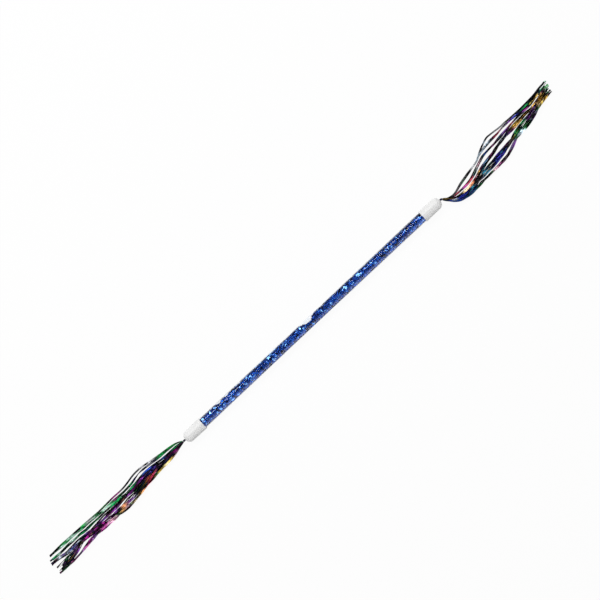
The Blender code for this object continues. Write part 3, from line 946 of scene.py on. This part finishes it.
RIGHT_LANES: tuple[Route, ...] = (
    ((0, 0), (3, -4.4), (6, -8.6), (10, -13), (14, -16), (18, -17.7), (26, -19.1), (34, -19.3), (44, -18.7),
     (56, -17.6), (70, -17.1), (84, -17), (96, -15.8), (106, -12.8), (114, -10), (122, -7.9), (134, -5.4),
     (144, -2.7), (158, 0.8), (170, 3.8), (186, 8.3)),
    ((0, 0), (3, -3.8), (6, -7.3), (10, -10.9), (14, -13.3), (18, -14.8), (26, -16.3), (34, -16.7),
     (44, -16.1), (54, -14.8), (64, -13), (76, -11.2), (86, -9.8), (96, -7.8), (106, -5.2), (116, -3.2),
     (126, -2.3), (136, -1.4), (146, 0.2), (158, 2.6), (170, 5.4), (187, 9.4)),
    ((0, 0), (3, -3.3), (6, -6), (10, -8.4), (14, -10.3), (18, -11.4), (26, -12), (34, -11.9), (42, -10.9),
     (50, -9.1), (58, -7.3), (66, -5.5), (76, -3.9), (86, -2.1), (96, 0), (106, 1.9), (116, 3.3), (126, 4.4),
     (136, 5.4), (146, 6.3), (158, 7.1), (170, 8.9), (188, 11.4)),
    ((0, 0), (3, -2.8), (6, -4.9), (10, -6.7), (14, -7.9), (18, -8.3), (26, -8.5), (34, -8.2), (42, -6.9),
     (48, -5.1), (54, -2.9), (60, -0.5), (66, 1.9), (73, 4.1), (80, 5.1), (90, 5.8), (102, 6.3), (114, 7.1),
     (126, 8.1), (138, 8.9), (150, 9.6), (162, 10.5), (174, 12.3), (189, 14.4)),
    ((0, 0), (3, -2.2), (6, -3.9), (10, -5.2), (14, -5.9), (20, -5.4), (28, -3.1), (34, -1.7), (42, -0.2),
     (50, 1.1), (56, 2.1), (62, 3.7), (68, 6.1), (73, 7.8), (80, 9.4), (90, 10.8), (102, 11.9), (114, 13.1),
     (126, 13.1), (136, 12.3), (148, 12.3), (160, 12.7), (170, 14.1), (180, 16.2), (189, 17.2)),
)
RIGHT_STRAY: Route = (
    (0, 0), (3, -2.2), (6, -3.9), (10, -5.2), (14, -5.9), (20, -5.2), (28, -2.7), (34, -1.5), (42, 0),
    (50, 1.3), (56, 2.3), (62, 4), (67, 6.6), (72, 9.8), (80, 13.8), (90, 17.4), (98, 17.1), (108, 16),
    (118, 15.6), (130, 14.6), (142, 13.8), (154, 13.9), (166, 14.6), (178, 16.8), (190, 17.6),
)
LEFT_LANES: tuple[Route, ...] = (
    ((0, 0), (4, -1.2), (10, -2.4), (18, -3.7), (28, -4.5), (38, -4.9), (48, -5.6), (58, -6.6), (68, -7.5),
     (78, -8.9), (88, -10.1), (96, -11.3), (104, -12.3), (112, -12.1), (122, -10.9), (134, -9.9),
     (148, -9.6), (162, -10.3), (176, -11.7), (190, -13), (204, -13.4), (218, -12.9)),
    ((0, 0), (4, -0.6), (10, -1.3), (18, -2.1), (28, -2.5), (38, -2.7), (48, -3.1), (58, -3.7), (68, -4.5),
     (78, -5.5), (88, -5.9), (100, -5.7), (112, -5.9), (124, -6.3), (136, -6.5), (148, -5.9), (160, -5.7),
     (172, -6.5), (184, -7.9), (198, -8.9), (218, -8.5)),
    ((0, 0), (4, 0.1), (10, 0.2), (18, -0.1), (28, -0.4), (38, -0.1), (48, 0.6), (58, 0.9), (68, 0.1),
     (78, -1.1), (88, -2.1), (100, -2.5), (112, -2.2), (124, -1.6), (136, -1.2), (148, -1.4), (160, -1.2),
     (172, -1.1), (184, -2), (196, -2.2), (207, -1), (218, -0.5)),
    ((0, 0), (4, 1.1), (10, 1.9), (18, 1.8), (28, 1.6), (38, 2.1), (48, 3.2), (58, 4), (66, 3.9), (74, 2.7),
     (82, 1.5), (90, 1.5), (102, 1.9), (116, 2), (130, 2.1), (144, 2.3), (158, 2.6), (172, 3.3), (186, 3.9),
     (200, 3.9), (218, 4.1)),
    ((0, 0), (4, 2.2), (10, 4.2), (18, 5.3), (28, 6), (38, 6.3), (48, 7), (58, 8.1), (66, 8.3), (73, 7.3),
     (80, 5.7), (88, 4.7), (96, 4.6), (104, 5.2), (116, 6), (130, 5.9), (144, 6.5), (158, 6.9), (172, 6.9),
     (186, 7), (198, 7.6), (213, 9)),
)
LEFT_STRAY: Route = (
    (0, 0), (4, 2.5), (10, 4.8), (18, 6.1), (28, 7), (36, 7.7), (44, 8.8), (52, 10.2), (60, 11.6),
    (68, 12.2), (76, 11.7), (86, 10.1), (96, 9.2), (108, 9.4), (120, 8.7), (134, 7.8), (148, 8.1),
    (164, 8.5), (180, 9.2), (196, 10.1), (213, 9.9),
)

# Lanes that each layer of a tassel fills, from the table up
LAYER_LANES = ((0, 1, 2, 3), (0, 1, 2, 4), (1, 2, 3, 4), (0, 1, 2, 3), (0, 1, 2, 4), (1, 2, 3, 4))

# Colours along each lane, as reach in millimetres and hue; the black bands are painted dark reflections and
# the pale ones painted glints.
RIGHT_BANDS: tuple[Bands, ...] = (
    read_bands(
        "0 BLACK, 5 NAVY, 9 BLUE, 22 BLUE, 28 NAVY, 38 NAVY, 43 BLACK, 54 BLACK, 60 SILVER, 68 BLACK, "
        "75 PINK, 82 MAGENTA, 88 ASH, 98 BLACK, 110 VIOLET, 118 BLACK, 128 PALE_BLUE, 134 GREEN, "
        "142 BLACK, 150 VIOLET, 160 BLACK, 174 GOLD, 180 BLACK"
    ),
    read_bands(
        "0 BLACK, 6 BLUE, 10 PALE_BLUE, 16 BLUE, 24 BLUE, 30 NAVY, 38 TEAL, 46 SILVER, 53 BLACK, "
        "60 TEAL, 70 BLACK, 80 NAVY, 86 BLUE, 93 NAVY, 100 BLACK, 114 BLACK, 120 GREEN, 128 BLACK, "
        "133 GREEN, 139 BLACK, 150 VIOLET, 158 BLACK, 170 GOLD, 178 BLACK"
    ),
    read_bands(
        "0 BLACK, 5 BLACK, 8 GOLD, 12 BLACK, 18 BLACK, 22 PALE_GOLD, 32 PALE_GOLD, 37 ORANGE, 42 ORANGE, "
        "45 RED, 49 PINK, 54 GOLD, 59 BLACK, 70 TEAL, 78 BLACK, 98 BLACK, 106 PALE_BLUE, 111 NAVY, "
        "120 BLACK, 129 GOLD, 147 GOLD, 150 PALE_GOLD, 158 GOLD, 163 BLACK, 170 GOLD, 176 BLACK, "
        "186 GREEN"
    ),
    read_bands(
        "0 BLACK, 8 GOLD, 12 BLACK, 20 RED, 26 BLACK, 31 MAGENTA, 40 RED, 46 RED, 50 BLACK, 60 ASH, "
        "66 PINK, 72 BLACK, 78 NAVY, 86 BLACK, 92 MAGENTA, 102 BLACK, 115 VIOLET, 122 RED, 132 BLACK, "
        "144 VIOLET, 150 MAGENTA, 157 BLACK, 168 GOLD, 174 BLACK, 186 GREEN"
    ),
    read_bands(
        "0 BLACK, 16 BLACK, 22 PINK, 27 BLACK, 35 GREEN, 40 BLACK, 46 NAVY, 54 BLACK, 62 ASH, 68 BLACK, "
        "75 PALE_BLUE, 88 PALE_BLUE, 93 BLACK, 103 RED, 112 ASH, 124 VIOLET, 133 BLUE, 140 BLACK, "
        "152 GREEN, 158 BLACK, 176 BLACK, 181 PALE_GREEN, 186 GREEN"
    ),
)
RIGHT_STRAY_BANDS: Bands = read_bands(
    "0 BLACK, 20 ASH, 50 ASH, 58 SILVER, 66 PALE_BLUE, 84 PALE_BLUE, 88 BLACK, 96 ASH, 108 SILVER, "
    "118 ASH, 128 GREEN, 138 BLACK"
)
LEFT_BANDS: tuple[Bands, ...] = (
    read_bands(
        "0 BLACK, 9 BLACK, 15 MAGENTA, 21 PINK, 26 GOLD, 36 PALE_GOLD, 46 GOLD, 52 BLACK, 62 RED, "
        "72 RED, 80 ORANGE, 85 GOLD, 94 PALE_GOLD, 99 BLACK, 104 PINK, 110 ORANGE, 118 BLACK, 130 PINK, "
        "137 MAGENTA, 149 MAGENTA, 156 VIOLET, 172 MAGENTA, 184 VIOLET, 196 MAGENTA, 204 BLACK"
    ),
    read_bands(
        "0 BLACK, 12 BLACK, 17 MAGENTA, 22 BLACK, 44 BLACK, 62 RED, 70 BLACK, 86 BLACK, 98 VIOLET, "
        "107 ORANGE, 113 BLACK, 122 VIOLET, 135 MAGENTA, 149 MAGENTA, 155 BLACK, 166 MAGENTA, 174 BLACK, "
        "184 VIOLET, 192 BLACK"
    ),
    read_bands(
        "0 BLACK, 24 BLACK, 44 NAVY, 52 BLUE, 62 NAVY, 72 VIOLET, 80 BLACK, 92 VIOLET, 102 BLACK, "
        "118 VIOLET, 126 BLACK, 138 NAVY, 146 VIOLET, 154 BLACK, 166 NAVY, 174 PALE_BLUE, 182 BLUE, "
        "192 PALE_BLUE, 200 NAVY, 206 PALE_BLUE, 211 BLACK"
    ),
    read_bands(
        "0 BLACK, 10 GREEN, 20 BLACK, 36 NAVY, 50 BLUE, 62 NAVY, 72 BLACK, 84 GREEN, 96 PALE_GREEN, "
        "103 GREEN, 116 GREEN, 128 GREEN, 150 GREEN, 156 BLACK, 164 GREEN, 182 PALE_GREEN, 188 GREEN, "
        "200 PALE_GREEN, 206 GREEN, 213 BLACK"
    ),
    read_bands(
        "0 BLACK, 5 GREEN, 34 GREEN, 40 BLACK, 50 ASH, 58 BLACK, 76 BLACK, 84 GREEN, 92 PALE_GREEN, "
        "100 GREEN, 107 MAGENTA, 113 GREEN, 126 PALE_GREEN, 132 GREEN, 150 PALE_GREEN, 158 GREEN, "
        "176 PALE_GREEN, 184 GREEN, 194 PALE_GREEN, 204 GREEN, 211 BLACK"
    ),
)
LEFT_STRAY_BANDS: Bands = read_bands(
    "0 BLACK, 5 GREEN, 34 GREEN, 42 ASH, 54 SILVER, 66 ASH, 84 BLACK, 96 ASH, 106 MAGENTA, 116 BLACK, "
    "130 GREEN, 150 ASH, 162 GREEN, 182 PALE_GREEN, 190 GREEN, 202 BLACK"
)


def side_along(route: Route, reach: float) -> float:
    """How far a lane lies to the side, on a smooth curve through its points.

    Args:
        route: the lane's points.
        reach: distance beyond the pivot.

    Returns:
        The offset to the side.
    """
    last = len(route) - 1
    index = next((i for i in range(last) if reach <= route[i + 1][0] * MM), last - 1)

    def slope(i: int) -> float:
        """Slope of the curve at a point."""
        before, after = route[max(i - 1, 0)], route[min(i + 1, last)]
        return (after[1] - before[1]) / (after[0] - before[0])

    (reach_a, side_a), (reach_b, side_b) = route[index], route[index + 1]
    span = (reach_b - reach_a) * MM
    t = (reach - reach_a * MM) / span
    bend = span * ((t**3 - 2 * t**2 + t) * slope(index) + (t**3 - t**2) * slope(index + 1))
    rise = smooth_step(t) if 0.0 <= t <= 1.0 else t
    return bend + (side_a + (side_b - side_a) * rise) * MM


@dataclass(frozen=True)
class Strip:
    """One foil strip of a tassel: where it lies, and how it rolls over along its length."""

    number: int
    layer: int
    lane: int
    tip: float
    hue: Hue
    bands: Bands
    slide: float
    roll_lengths: Pair
    roll_starts: Pair
    roll_size: float
    murk: float
    roll_shares: Pair = (0.85, 0.45)
    own_share: float = 0.14
    dark_length: float = 13.0 * MM
    dark_swing: float = 3.0
    dark_step: float = 3.7

    def roll(self, reach: float, loose: float) -> float:
        """How far the strip is rolled over on its own axis.

        Args:
            reach: distance beyond the pivot.
            loose: how free the strip is there, from 0 to 1.

        Returns:
            The angle.
        """
        waves = zip(self.roll_shares, self.roll_lengths, self.roll_starts)
        turns = [share * math.sin(math.tau * (reach / length + start)) for share, length, start in waves]
        return loose * self.roll_size * sum(turns)

    def colour(self, reach: float) -> Colour:
        """The film's colour, with painted dark reflections and painted glints from its bands, and noise
        patches of painted dark reflection.

        Args:
            reach: distance beyond the pivot.

        Returns:
            The colour there.
        """
        place = (reach + self.slide) / MM
        before = after = self.bands[0]
        for band in self.bands:
            before, after = after, band
            if band[0] >= place:
                break
        span = max(after[0] - before[0], 1.0)
        colour = blend_colours(before[1].value, after[1].value, smooth_step((place - before[0]) / span))
        colour = blend_colours(colour, self.hue.value, self.own_share)
        # Painted dark reflection: noise lays black patches along the strip.
        spot = Vector((reach / self.dark_length, self.number * self.dark_step, self.slide / MM))
        dark = smooth_step(self.murk + self.dark_swing * noise.noise(spot))
        return blend_colours(colour, Hue.BLACK.value, dark)


@dataclass(frozen=True)
class Tassel:
    """A tassel of foil strips that swings on the end of a knot's neck."""

    end: End
    lanes: tuple[Route, ...]
    stray: Route
    bands: tuple[Bands, ...]
    stray_bands: Bands
    lean: float
    murk: float
    seed: int
    strip_width: float = 2.2 * MM
    solid_thickness: float = 0.25 * MM
    film_thickness: float = 0.05 * MM
    side_gap: float = 0.3 * MM
    root_share: float = 0.22
    root_side_gap: float = 0.1 * MM
    root_layer_gap: float = 0.15 * MM
    full_width_reach: float = 40.0 * MM
    film_root: float = 1.45 * MM
    film_pitch: float = 0.4 * MM
    grip_length: float = 3.5 * MM
    film_root_share: float = 0.45
    film_width_reach: float = 20.0 * MM
    layer_pitch: float = 1.0 * MM
    landing_reach: float = 55.0 * MM
    wave_length: float = 75.0 * MM
    wave_height: float = 2.5 * MM
    sway: float = 2.0 * MM
    sway_length: float = 120.0 * MM
    sway_shares: tuple[float, ...] = (0.7, 1.6, 0.9, 0.5, 0.4)
    golden_share: float = (math.sqrt(5.0) - 1.0) / 2.0
    tip_stagger: float = 1.6 * MM
    slide: float = 5.0 * MM
    top_layer: int = 4
    top_slide_share: float = 0.3
    slow_rolls: Pair = (60.0 * MM, 110.0 * MM)
    quick_rolls: Pair = (24.0 * MM, 40.0 * MM)
    roll_reach: float = 8.0 * MM
    stray_roll: float = 0.3
    stations: int = 150
    station_bias: float = 1.1
    crinkle: float = 0.16 * MM
    crinkle_length: float = 5.0 * MM
    crinkle_step: float = 7.3
    crinkle_tilt: float = 0.7
    cupping: float = 0.06
    table_gap: float = 0.1 * MM
    map_length: float = 4.0 * MM
    film_sharp: float = math.radians(60.0)

    def width_share(self, reach: float) -> float:
        """Share of its full width that a strip has at a reach: it is gathered where it leaves the knot."""
        return self.root_share + (1.0 - self.root_share) * smooth_step(reach / self.full_width_reach)

    def route(self, layer: int, lane: int) -> Route:
        """Points that a layer's strip in a lane follows: the lane's, or those of the strip that strays."""
        strays = layer == len(LAYER_LANES) - 1 and lane == len(self.lanes) - 1
        return self.stray if strays else self.lanes[lane]

    def swayed_sides(self, layer: int, reach: float, with_stray: bool) -> dict[int, float]:
        """Side offset at a reach of each lane that a layer fills, with a slow sway of its own.

        Args:
            layer: the layer.
            reach: distance beyond the pivot.
            with_stray: whether the straying strip is the one asked for.

        Returns:
            The offset for each lane.
        """
        loose = smooth_step(reach / self.landing_reach)
        sides = {}
        for lane in LAYER_LANES[layer]:
            start = self.golden_share * (layer * len(self.lanes) + lane)
            turn = math.tau * (reach / self.sway_length + start)
            route = self.route(layer, lane) if with_stray else self.lanes[lane]
            wander = self.sway * self.sway_shares[lane] * loose * math.sin(turn)
            sides[lane] = side_along(route, reach) + wander
        return sides

    def settled_side(self, layer: int, lane: int, reach: float) -> float:
        """Side offset of one strip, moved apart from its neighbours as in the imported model.

        Args:
            layer: the strip's layer.
            lane: the strip's lane.
            reach: distance beyond the pivot.

        Returns:
            The offset.
        """
        with_stray = self.route(layer, lane) is self.stray
        sides = self.swayed_sides(layer, reach, with_stray)
        ahead = self.swayed_sides(layer, reach + MM, with_stray)
        steepest = max(abs(ahead[key] - sides[key]) / MM for key in sides)
        share = self.width_share(reach)
        gap = self.root_side_gap + (self.side_gap - self.root_side_gap) * share
        room = (self.strip_width * share + gap) * math.hypot(1.0, steepest)
        centre = len(self.lanes) // 2
        upper = [key for key in LAYER_LANES[layer] if key >= centre]
        lower = [key for key in reversed(LAYER_LANES[layer]) if key <= centre]
        for inner, outer in zip(upper, upper[1:]):
            sides[outer] = max(sides[outer], sides[inner] + room)
        for inner, outer in zip(lower, lower[1:]):
            sides[outer] = min(sides[outer], sides[inner] - room)
        return sides[lane]

    def layer_height(self, layer: int, reach: float, axis_height: float) -> float:
        """Height of a layer's middle, which falls from the knot to the table and then lies in waves.

        Args:
            layer: the layer.
            reach: distance beyond the pivot.
            axis_height: height of the pivot.

        Returns:
            The height above the table.
        """
        pitch = self.solid_thickness * self.root_share + self.root_layer_gap
        root = axis_height + (layer - (len(LAYER_LANES) - 1) / 2) * pitch
        rest = self.solid_thickness / 2 + layer * self.layer_pitch
        past = max(reach - self.landing_reach, 0.0)
        wave = self.wave_height * (1.0 - math.cos(math.tau * past / self.wave_length)) / 2.0
        return root + (rest - root) * smooth_step(reach / self.landing_reach) + wave

    def middle_line(self, strip: Strip, reach: float, pivot: Vector) -> Vector:
        """Point on a strip's middle line.

        Args:
            strip: the strip.
            reach: distance beyond the pivot.
            pivot: where the tassel swings.

        Returns:
            The point.
        """
        lane_place = Vector((reach, self.settled_side(strip.layer, strip.lane, reach)))
        root = Vector((self.film_root, (strip.lane - len(self.lanes) // 2) * self.film_pitch))
        grip = 1.0 - smooth_step((reach - self.film_root) / self.grip_length)
        out, side = lane_place.lerp(Matrix.Rotation(self.lean, 2) @ root, grip)
        height = self.layer_height(strip.layer, reach, pivot.z)
        return Vector((pivot.x + self.end.value * out, pivot.y + side, height))

    def cut_strips(self) -> list[Strip]:
        """Choose the length, slot, colours and roll of every strip."""
        chance = random.Random(self.seed)
        strips = []
        for layer, filled in enumerate(LAYER_LANES):
            for lane in filled:
                route = self.route(layer, lane)
                tip = route[-1][0] * MM - self.tip_stagger * ((layer * 2 + lane) % len(LAYER_LANES))
                strays = route is self.stray
                slide = self.slide * (1.0 if layer < self.top_layer else self.top_slide_share)
                above = [up for up in range(layer + 1, len(LAYER_LANES)) if lane in LAYER_LANES[up]]
                covers = sum(self.route(up, lane) is not self.stray for up in above)
                strips.append(
                    Strip(
                        number=len(strips) + 1,
                        layer=layer,
                        lane=lane,
                        tip=tip,
                        hue=SLOT_HUES[(layer + 3 * lane) % len(SLOT_HUES)],
                        bands=self.stray_bands if strays else self.bands[lane],
                        slide=chance.uniform(-slide, slide),
                        roll_lengths=(chance.uniform(*self.slow_rolls), chance.uniform(*self.quick_rolls)),
                        roll_starts=(chance.random(), chance.random()),
                        roll_size=self.stray_roll if strays else 1.0,
                        # Strips with an odd count of strips above them in their lane get the painted dark
                        # reflection patches.
                        murk=self.murk if covers % 2 else 0.0,
                    )
                )
        return strips

    def build_strip(self, strip: Strip) -> None:
        """Make one strip: a flat grid laid along its route, rolled and crinkled, and given its thickness.

        Args:
            strip: the strip.
        """
        pivot = joint_place(f"{self.end.word}_tassel_swing")
        shape = bmesh.new()
        film = shape.verts.layers.float_color.new("film_colour")
        uv = shape.loops.layers.uv.new("film")
        bmesh.ops.create_grid(shape, x_segments=2, y_segments=self.stations, size=0.5)
        rows: dict[int, list[bmesh.types.BMVert]] = {}
        for vert in shape.verts:
            rows.setdefault(round((vert.co.y + 0.5) * self.stations), []).append(vert)
        start = self.film_root
        for row, verts in rows.items():
            share = row / self.stations
            reach = start + (strip.tip - start) * share**self.station_bias
            centre = self.middle_line(strip, reach, pivot)
            ahead = (self.middle_line(strip, reach + MM, pivot) - centre).normalized()
            across = ahead.cross(Vector((0.0, 0.0, 1.0))).normalized()
            up = across.cross(ahead)
            loose = smooth_step((reach - self.roll_reach) / self.landing_reach)
            roll = strip.roll(reach, loose)
            flat = across * math.cos(roll) + up * math.sin(roll)
            proud = up * math.cos(roll) - across * math.sin(roll)
            fullness = smooth_step(reach / self.film_width_reach)
            width = self.strip_width * (self.film_root_share + (1.0 - self.film_root_share) * fullness)
            colour = (*strip.colour(reach), 1.0)
            ripple = (reach / self.crinkle_length, strip.number * self.crinkle_step)
            for vert in verts:
                aside = 2.0 * vert.co.x
                crease = self.crinkle * noise.noise(Vector((*ripple, self.crinkle_tilt * aside)))
                lift = loose * crease - self.cupping * width * aside * aside
                place = centre + flat * (aside * width / 2) + proud * lift
                place.z = max(place.z, self.table_gap)
                vert[film] = colour
                for loop in vert.link_loops:
                    loop[uv].uv = (0.5 * aside, reach / self.map_length)
                vert.co = place
        bmesh.ops.recalc_face_normals(shape, faces=shape.faces)
        bmesh.ops.solidify(shape, geom=shape.faces[:], thickness=self.film_thickness)
        word = self.end.word
        name = f"{word}_film_strip_{strip.number:02d}"
        node = f"{word}_streamer_{strip.number:02d}"
        label = PieceLabel(name, node, f"{word}_tassel", strip.hue.slot)
        finish_piece(shape, label, RainbowFilm("rainbow_film"), self.film_sharp)

    def build(self) -> None:
        """Make every strip."""
        for strip in self.cut_strips():
            self.build_strip(strip)


@dataclass(frozen=True)
class Lamp:
    """A soft rectangular lamp aimed at the baton."""

    name: str
    place: tuple[float, float, float]
    size: Pair
    brightness: float

    def build(self, aim: Vector) -> None:
        """Make the lamp.

        Args:
            aim: the point it shines at.
        """
        lamp = bpy.data.lights.new(self.name, "AREA")
        lamp.shape = "RECTANGLE"
        lamp.size, lamp.size_y = self.size
        lamp.energy = self.brightness * math.pi * self.size[0] * self.size[1]
        holder = bpy.data.objects.new(self.name, lamp)
        bpy.context.scene.collection.objects.link(holder)
        holder.location = self.place
        holder.rotation_euler = (aim - holder.location).to_track_quat("-Z", "Y").to_euler()


@dataclass(frozen=True)
class Room:
    """Light from a room: level with the table on its near and far sides, and from its ceiling."""

    near: float
    far: float
    ceiling: float
    fade: float

    def level(self, graph: Graph, farness: Socket, low: Socket) -> Socket:
        """Light that comes from one way.

        Args:
            graph: the world's nodes.
            farness: 0 on the near side, 1 on the far side.
            low: 1 level with the table, 0 straight up.

        Returns:
            The socket that holds the light.
        """
        past_ceiling = graph.math("SUBTRACT", graph.stretch(farness, self.near, self.far), self.ceiling)
        extra = graph.math("MULTIPLY", past_ceiling, graph.math("POWER", low, self.fade))
        return graph.math("ADD", extra, self.ceiling)


@dataclass(frozen=True)
class Studio:
    """Camera straight above the baton, two soft lamps, a white table and a pale room with a dim ceiling."""

    aim_past_tube: Pair = (5.4 * MM, 27.9 * MM)
    turn: float = math.radians(-43.2)
    view_width: float = 720.0 * MM
    lens: float = 150.0
    sensor: float = 36.0
    sight: float = 50.0
    floor_size: float = 6.0
    floor_drop: float = 0.2 * MM
    dull_room: Room = Room(near=0.80, far=0.45, ceiling=0.28, fade=1.2)
    mirrored_room: Room = Room(near=4.60, far=0.05, ceiling=0.05, fade=0.9)
    backdrop: float = 0.95
    lamps: tuple[Lamp, ...] = (
        Lamp("left_key", (-0.52, 0.74, 1.10), (0.6, 0.5), 8.2),
        Lamp("right_key", (0.56, 0.74, 1.10), (0.6, 0.5), 8.2),
    )

    def build_camera(self) -> None:
        """Place the camera."""
        lens = bpy.data.cameras.new("camera")
        lens.lens = self.lens
        lens.sensor_width = self.sensor
        lens.clip_end = self.sight
        camera = bpy.data.objects.new("camera", lens)
        bpy.context.scene.collection.objects.link(camera)
        distance = self.view_width * self.lens / self.sensor
        camera.location = middle_of("clear_tube") + Vector((*self.aim_past_tube, distance))
        camera.rotation_euler = (0.0, 0.0, self.turn)
        bpy.context.scene.camera = camera

    def build_floor(self) -> None:
        """Make the table top."""
        shape = bmesh.new()
        bmesh.ops.create_grid(shape, x_segments=1, y_segments=1, size=self.floor_size)
        bmesh.ops.translate(shape, vec=(0.0, 0.0, -self.floor_drop), verts=shape.verts)
        mesh = bpy.data.meshes.new("table_top")
        shape.to_mesh(mesh)
        shape.free()
        mesh.materials.append(StudioFloor("table_white").material())
        table = bpy.data.objects.new("table_top", mesh)
        bpy.context.scene.collection.objects.link(table)

    def build_room(self) -> None:
        """Light the room: one level for dull surfaces, one for mirrors, and white where it is looked at."""
        world = bpy.data.worlds.new("room")
        bpy.context.scene.world = world
        world.use_nodes = True
        world.node_tree.nodes.clear()
        graph = Graph(world.node_tree)
        way = graph.add("SeparateXYZ", {0: graph.add("TexCoord").outputs["Generated"]}).outputs
        farness = graph.math("ADD", graph.math("MULTIPLY", way["Y"], 0.5), 0.5)
        path = graph.add("LightPath").outputs
        low = graph.math("SUBTRACT", 1.0, graph.math("MAXIMUM", way["Z"], 0.0))
        dull = self.dull_room.level(graph, farness, low)
        shiny = self.mirrored_room.level(graph, farness, low)
        added = graph.math("MULTIPLY", graph.math("SUBTRACT", shiny, dull), path["Is Glossy Ray"])
        level = graph.math("ADD", dull, added)
        # White is only for lines of sight that nothing mirrors, so foil in the tube still mirrors the room
        straight = graph.math("LESS_THAN", path["Glossy Depth"], 0.5)
        seen = graph.math("MAXIMUM", path["Is Camera Ray"], path["Is Transmission Ray"])
        seen = graph.math("MULTIPLY", seen, straight)
        whiter = graph.math("MULTIPLY", graph.math("SUBTRACT", self.backdrop, level), seen)
        strength = graph.math("ADD", level, whiter)
        light = graph.add("Background", {"Color": (1.0, 1.0, 1.0, 1.0), "Strength": strength})
        graph.add("OutputWorld", {"Surface": light.outputs[0]})

    def build(self) -> None:
        """Make the studio."""
        bpy.context.scene.view_settings.view_transform = "Standard"
        self.build_camera()
        self.build_floor()
        self.build_room()
        for lamp in self.lamps:
            lamp.build(middle_of("clear_tube"))


def main() -> None:
    """Build the studio and dress the baton."""
    logging.basicConfig(level=logging.INFO, format="%(name)s: %(message)s")
    Studio().build()
    ClearTube().build()
    Garland().build()
    for end in End:
        EndCap(end).build()
        Knot(end).build()
    left = (LEFT_LANES, LEFT_STRAY, LEFT_BANDS, LEFT_STRAY_BANDS)
    right = (RIGHT_LANES, RIGHT_STRAY, RIGHT_BANDS, RIGHT_STRAY_BANDS)
    Tassel(End.LEFT, *left, lean=0.0, murk=0.3, seed=5).build()
    Tassel(End.RIGHT, *right, lean=math.radians(-46.0), murk=0.6, seed=8).build()


if __name__ == "__main__":
    main()
